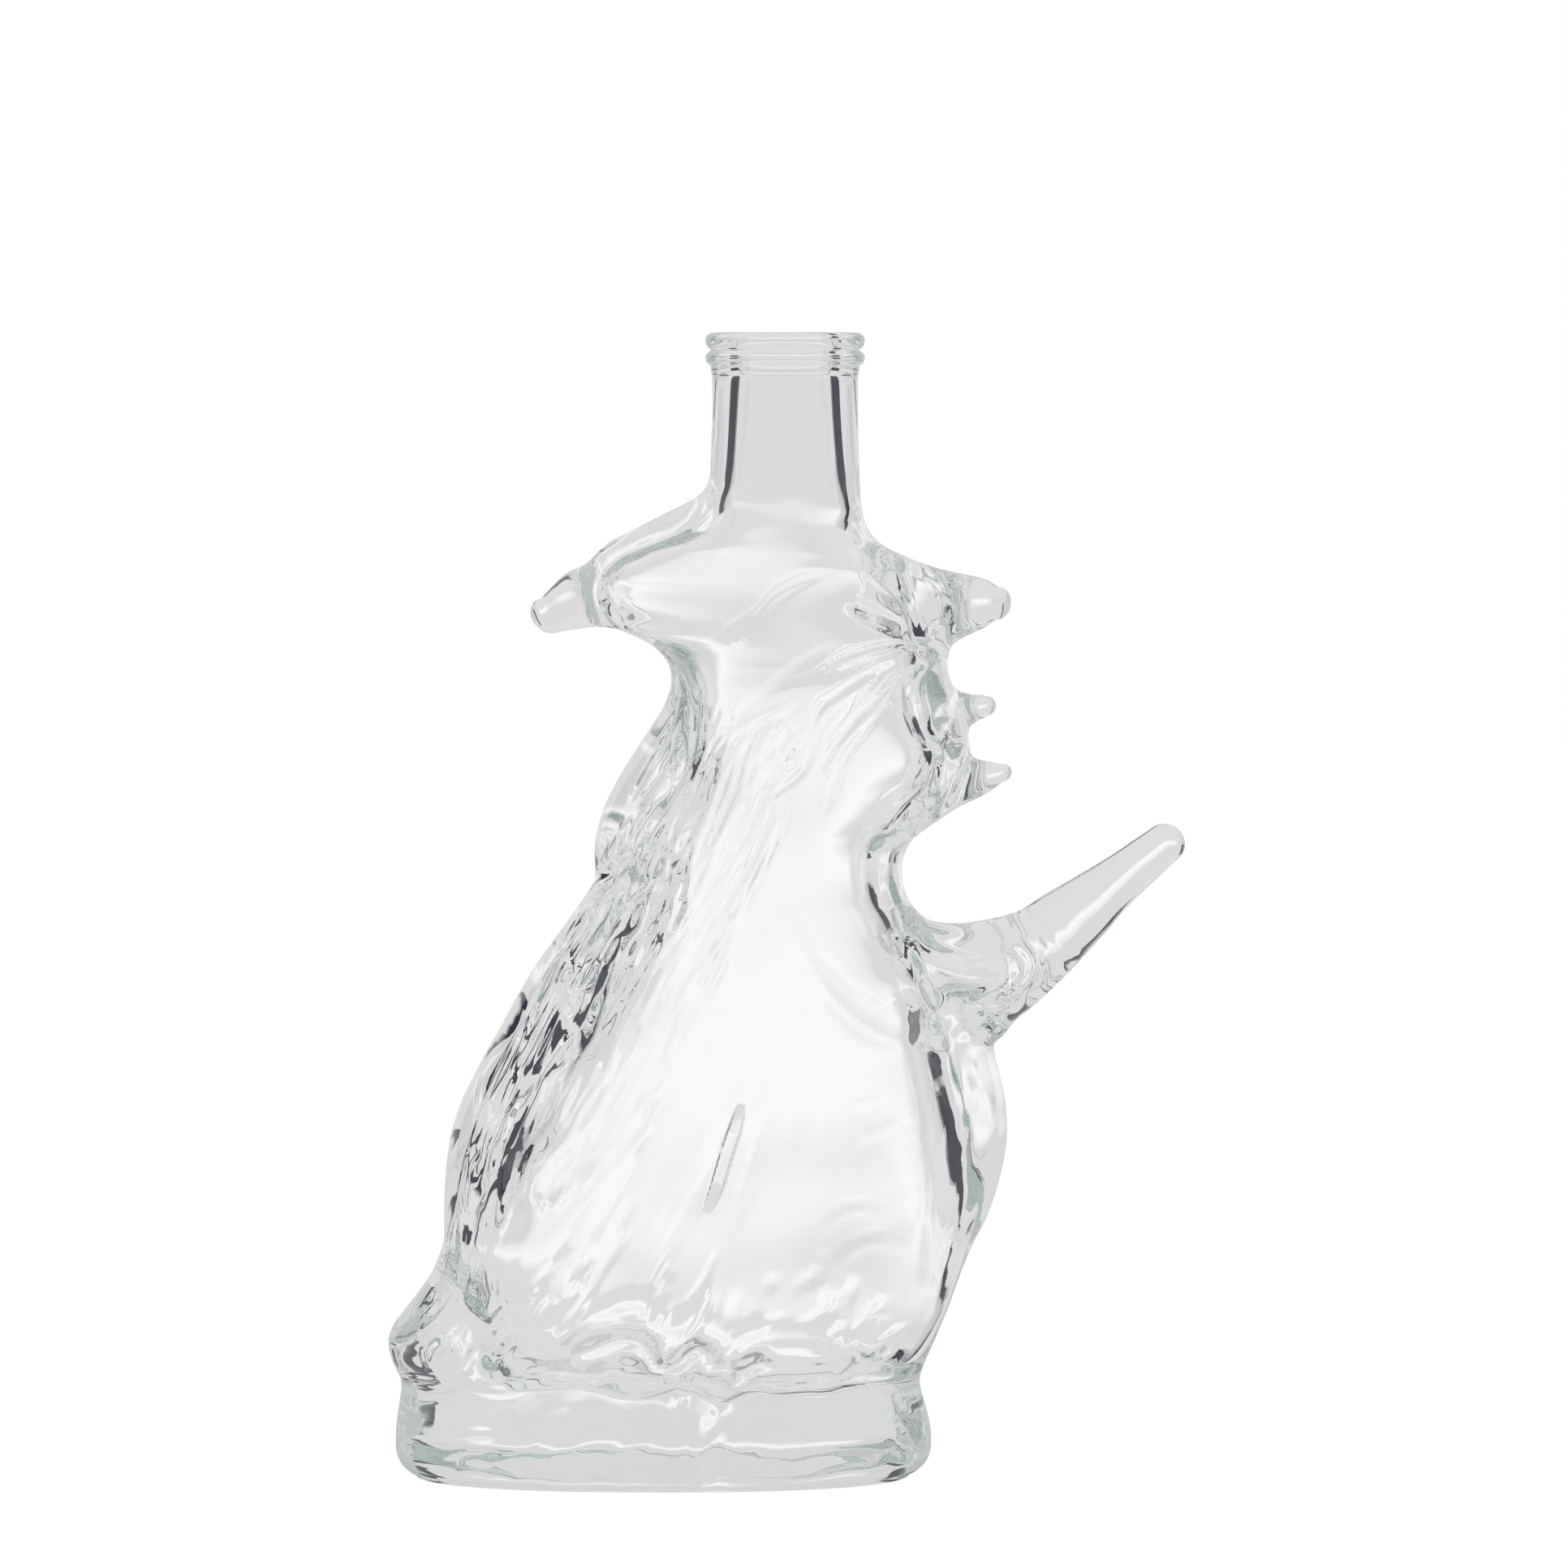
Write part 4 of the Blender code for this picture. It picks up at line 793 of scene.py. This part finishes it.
hollow_turns = np.arange(HOLLOW_AROUND) * 2 * math.pi / HOLLOW_AROUND
hollow_rows = curve_through(np.array(HOLLOW) * MM, 0.5 * MM)
rim_waves = np.array(RIM_WAVES) * MM
bore_rows = np.array(BORE_ROWS) * MM
neck_wall = skin_reaches(neck_foot)[2] - bore_rows[0, 1]
side_walls = np.array(SIDE_WALLS + ((neck_foot / MM, neck_wall / MM),)) * MM


def hollow_ring(height, inset):
    """A level section of the hollow, drawn in by an inset, with the waves of its floor's rim."""
    back, front = (np.interp(height, hollow_rows[:, 0], hollow_rows[:, side]) - inset for side in (1, 2))
    fullness = np.interp(height / MM, *HOLLOW_FULLNESS)
    points = oval((back, front, 1), height, hollow_turns, (fullness, fullness, None))
    skin_back, skin_front, skin_depth = skin_reaches(height)
    full_back, full_front, middle = skin_form(height)
    ahead = points[:, 0] > middle
    exponent = np.where(ahead, full_front, full_back)
    along = np.abs(points[:, 0] - middle) / np.where(ahead, skin_front - middle, skin_back + middle)
    skin_side = skin_depth * (1 - along**exponent) ** (1 / exponent)
    wall = np.interp(height, side_walls[:, 0], side_walls[:, 1])
    side_now = points[:, 1] * (skin_side - wall - inset)
    share = np.clip((points[:, 0] - (front - back) / 2) / ((front + back) / 2), -1, 1)
    round_side = np.sign(points[:, 1]) * (skin_depth - wall) * np.sqrt(1 - share**2)
    rounding = np.interp(height / MM, NECK_ROUNDING, (0, 1)) ** 2
    points[:, 1] = side_now + (round_side - side_now) * rounding
    in_hair = np.interp(height / MM, *LOCK_ZONE) * np.interp(-points[:, 0] / back, LOCK_SHARES, (0, 1))
    locks = [noise.noise(Vector((0, y / LOCK_WIDTH, height / LOCK_LENGTH)) / MM) for y in points[:, 1]]
    points[:, 0] += LOCK_WAVE * MM * in_hair * locks
    far = (1 + points[:, 1] / skin_depth) / 2
    near_lift, far_lift = (np.interp(points[:, 0], rim_waves[:, 0], rim_waves[:, side]) for side in (1, 2))
    lift_share = np.clip((WAVE_TOP - height / MM) / WAVE_FADE, 0, 1)
    points[:, 2] += (near_lift * (1 - far) + far_lift * far) * lift_share
    return points


hollow_rings = []
for angle in ENTRY_ANGLES:
    radius = BORE_RADIUS * MM + LAND_ROUND * MM * (1 - math.sin(math.radians(angle)))
    height = finish_top - LAND_ROUND * MM * (1 - math.cos(math.radians(angle)))
    hollow_rings.append(oval((radius,) * 3, height, hollow_turns))
for height in np.linspace(finish_foot, neck_foot, BORE_STEPS):
    radius = np.interp(height, bore_rows[:, 0], bore_rows[:, 1])
    hollow_rings.append(oval((radius,) * 3, height, hollow_turns))
rim_height = (FLOOR + FLOOR_ROUND) * MM
body_steps = round((neck_foot - rim_height) / (HOLLOW_PITCH * MM))
for height in np.linspace(neck_foot, rim_height, body_steps)[1:]:
    hollow_rings.append(hollow_ring(height, 0))
for k in range(1, FLOOR_STEPS + 1):
    swing = k / FLOOR_STEPS * math.pi / 2
    drop, inset = math.sin(swing), 1 - math.cos(swing)
    hollow_rings.append(hollow_ring(rim_height - FLOOR_ROUND * MM * drop, FLOOR_ROUND * MM * inset))
floor_ring = hollow_rings[-1]
floor_middle = floor_ring.mean(0)
for k in range(1, FLOOR_STEPS + 1):
    hollow_rings.append(floor_middle + (floor_ring - floor_middle) * (1 - k / FLOOR_STEPS))
for ring in hollow_rings[len(ENTRY_ANGLES) + BORE_STEPS :]:
    waves = [noise.noise(Vector(point) / (GLASS_GRAIN * MM)) for point in ring]
    ring[:, 1] += INNER_WAVE * MM * np.array(waves)

hollow = tube(hollow_rings)
bmesh.ops.pointmerge(glass, verts=hollow[-1], merge_co=floor_middle)
inside = [vertex for row in hollow[:-1] for vertex in row]
blend([vertex for vertex in inside if abs(vertex.co.z - neck_foot) < NECK_BLEND * MM], BLEND_ROUNDS)
(low, high), sections, tip = POCKET
blend(pull_out(hollow[:-1], 0, low, high, sections, tip), POCKET_ROUNDS)

# The whole body: the skin and the hollow meet at the mouth's land. One closed mesh stands for all solids,
# as the real bottle has no seam.
rims = [edge for edge in glass.edges if edge.is_boundary]
bmesh.ops.bridge_loops(glass, edges=rims)
bmesh.ops.recalc_face_normals(glass, faces=glass.faces[:])

bottle_mesh = bpy.data.meshes.new("bottle_glass")
glass.to_mesh(bottle_mesh)
glass.free()
bottle_mesh.shade_smooth()
bottle = bpy.data.objects.new("bottle_glass", bottle_mesh)
bpy.context.scene.collection.objects.link(bottle)

# The glass itself: clear flint glass, fire-polished. Its body absorbs a little light by the metre, which
# gives it the grey-green cast of its iron where a ray runs a long way through it.
FLINT = {"Base Color": (1, 1, 1, 1), "Roughness": 0, "IOR": 1.5, "Transmission Weight": 1}
FLINT_CAST = (0.81, 0.89, 0.865, 1)
FLINT_DENSITY = 8


class Wire:
    """A shader socket that Python's operators work on."""

    def __init__(self, tree, socket):
        self.tree, self.socket = tree, socket

    def maths(self, operation, *others):
        return self.tree.add("ShaderNodeMath", {"operation": operation}, self, *others)

    def __add__(self, other):
        return self.maths("ADD", other)

    def __sub__(self, other):
        return self.maths("SUBTRACT", other)

    def __rsub__(self, other):
        return self * -1 + other

    def __mul__(self, other):
        return self.maths("MULTIPLY", other)

    def __abs__(self):
        return self.maths("ABSOLUTE")

    def step(self, low, high):
        """0 below low, 1 above high and a straight ramp between them."""
        return self.tree.add("ShaderNodeMapRange", {}, self, low, high)

    __radd__, __rmul__ = __add__, __mul__


class Tree:
    """The nodes of one material or of the world."""

    def __init__(self, owner):
        owner.use_nodes = True
        self.nodes, self.links = owner.node_tree.nodes, owner.node_tree.links

    def plug(self, socket, value):
        if isinstance(value, Wire):
            self.links.new(value.socket, socket)
        else:
            socket.default_value = value

    def add(self, kind, settings, *values, out=0):
        """One output of a new node, which gets its settings and then its sockets' values or wires."""
        node = self.nodes.new(kind)
        for name, value in settings.items():
            setattr(node, name, value)
        for socket, value in zip((s for s in node.inputs if s.enabled), values):
            self.plug(socket, value)
        return Wire(self, node.outputs[out])


flint = bpy.data.materials.new("flint_glass")
flint_tree = Tree(flint)
flint_shader = flint_tree.nodes["Principled BSDF"]
for name, value in FLINT.items():
    flint_shader.inputs[name].default_value = value
flint_body = flint_tree.add("ShaderNodeVolumeAbsorption", {}, FLINT_CAST, FLINT_DENSITY)
flint_tree.plug(flint_tree.nodes["Material Output"].inputs["Volume"], flint_body)
bottle_mesh.materials.append(flint)
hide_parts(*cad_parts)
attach(bottle, "root")

# The floor: a wide sweep of white paper, plain white to the camera. Rays that have gone through the glass
# pass it and see the studio behind it.
FLOOR_SIZE = 3.0
PAPER_COLOUR = (0.86, 0.86, 0.86, 1)
PAPER_WHITE = 1.13
PAPER_WHITE_SHARE = 0.85

sweep = bmesh.new()
bmesh.ops.create_grid(sweep, x_segments=8, y_segments=8, size=FLOOR_SIZE)
sweep_mesh = bpy.data.meshes.new("floor")
sweep.to_mesh(sweep_mesh)
sweep.free()
floor = bpy.data.objects.new("floor", sweep_mesh)
bpy.context.scene.collection.objects.link(floor)
paper = bpy.data.materials.new("white_paper")
paper_tree = Tree(paper)
paper_shader = paper_tree.nodes["Principled BSDF"]
paper_shader.inputs["Base Color"].default_value = PAPER_COLOUR
paper_shader.inputs["Roughness"].default_value = 0.8
to_camera = paper_tree.add("ShaderNodeLightPath", {}, out=0)
through_glass = paper_tree.add("ShaderNodeLightPath", {}, out=6)
paper_white = paper_tree.add("ShaderNodeEmission", {}, (1, 1, 1, 1), PAPER_WHITE)
paper_clear = paper_tree.add("ShaderNodeBsdfTransparent", {})
paper_plain = Wire(paper_tree, paper_shader.outputs[0])
white_share = to_camera * PAPER_WHITE_SHARE
paper_seen = paper_tree.add("ShaderNodeMixShader", {}, white_share, paper_plain, paper_white)
paper_seen = paper_tree.add("ShaderNodeMixShader", {}, through_glass, paper_seen, paper_clear)
paper_tree.plug(paper_tree.nodes["Material Output"].inputs["Surface"], paper_seen)
sweep_mesh.materials.append(paper)

# The studio: a bright panel behind the bottle, the table, and greys at the sides, overhead and behind the
# camera. Two narrow dark gaps beside the panel draw the dark lines in the glass. Bearings are angles off
# the bottle's long axis, and heights and depths those of a direction of length 1.
BACKDROP_GREY = (0.74, 0.715, 0.725, 1)
PANEL_WHITE = (1.03, 1.0, 1.01, 1)
PANEL_SIDE = (0.68, 0.68, 0.68, 1)
PANEL_BEARINGS = (math.radians(70) - 0.15, math.radians(70))
# Downwards, the backdrop's grey gives way to the panel in a short fade and a long one.
PANEL_SHORT = (0.03, 0)
PANEL_LONG = (0.03, -0.1)
PANEL_SHORT_SHARE = 0.2
TABLE_GREY = (0.755, 0.74, 0.745, 1)
TABLE_HEIGHTS = (-0.11, -0.18)
ROOM_GREY = (0.58, 0.59, 0.59, 1)
ROOM_DEPTHS = (-0.1, -0.3)
CEILING_GREY = (0.78, 0.77, 0.775, 1)
CEILING_HEIGHTS = (0.3, 0.5)
GAP_DARK = (0.02, 0.017, 0.035, 1)
GAP_BEARING = math.radians(34)
GAP_HALF = math.radians(10)
GAP_EDGE = 0.03
# The gaps are wider above the level, end overhead and leave out a band below it. The one on the side of the
# figure's back ends at the level.
GAP_WIDER = 0.05
GAP_WIDER_HEIGHTS = (0.02, 0.06)
GAP_TOP = (0.5, 0.45)
GAP_BREAK = 0.17
GAP_BREAK_HALVES = (0.12, 0.15)
GAP_FOOT = (-0.03, 0.01)
GAP_SIDES = (-0.1, 0.1)

world = bpy.data.worlds.new("studio")
bpy.context.scene.world = world
sky = Tree(world)
direction = sky.add("ShaderNodeTexCoord", {})
x, y, z = (sky.add("ShaderNodeSeparateXYZ", {}, direction, out=k) for k in range(3))


def laid_over(share, under, over):
    """One colour over another, by a share."""
    return sky.add("ShaderNodeMix", {"data_type": "RGBA"}, share, under, over, out=2)


bearing = y.maths("ARCTAN2", abs(x))
off_gap = abs(bearing - GAP_BEARING) - z.step(*GAP_WIDER_HEIGHTS) * GAP_WIDER
gap = (1 - off_gap.step(GAP_HALF, GAP_HALF + GAP_EDGE)) * z.step(*GAP_TOP)
gap = gap * abs(z + GAP_BREAK).step(*GAP_BREAK_HALVES) * (z + x.step(*GAP_SIDES)).step(*GAP_FOOT)
panel = laid_over(bearing.step(*PANEL_BEARINGS), PANEL_SIDE, PANEL_WHITE)
panel_share = z.step(*PANEL_SHORT) * PANEL_SHORT_SHARE + z.step(*PANEL_LONG) * (1 - PANEL_SHORT_SHARE)
level = laid_over(panel_share, BACKDROP_GREY, panel)
level = laid_over(z.step(*TABLE_HEIGHTS), level, TABLE_GREY)
level = laid_over(y.step(*ROOM_DEPTHS), level, ROOM_GREY)
level = laid_over(z.step(*CEILING_HEIGHTS), level, CEILING_GREY)
level = laid_over(gap, level, GAP_DARK)
level = laid_over(sky.add("ShaderNodeLightPath", {}), level, (1, 1, 1, 1))
sky.plug(sky.nodes["Background"].inputs["Color"], level)

# The camera: a metre and a half away, a little above the bottle's middle, with a long lens. Thick glass
# turns black without more than the usual bounces of light.
CAMERA_EYE = (-0.0002, -1.5, 0.201)
CAMERA_AIM = (-0.0002, 0.0, 0.128)
CAMERA_LENS = 186.6
CAMERA_SENSOR = 36
LIGHT_BOUNCES = 40

camera = bpy.data.objects.new("camera", bpy.data.cameras.new("camera"))
bpy.context.scene.collection.objects.link(camera)
camera.location = CAMERA_EYE
camera.rotation_euler = (Vector(CAMERA_AIM) - Vector(CAMERA_EYE)).to_track_quat("-Z", "Y").to_euler()
camera.data.lens = CAMERA_LENS
camera.data.sensor_width = CAMERA_SENSOR
bpy.context.scene.camera = camera
bpy.context.scene.view_settings.view_transform = "Standard"
bpy.context.scene.cycles.max_bounces = LIGHT_BOUNCES
bpy.context.scene.cycles.transmission_bounces = LIGHT_BOUNCES
bpy.context.scene.cycles.glossy_bounces = LIGHT_BOUNCES

triangles = sum(len(face.vertices) - 2 for face in bottle_mesh.polygons)
print("triangles", triangles)
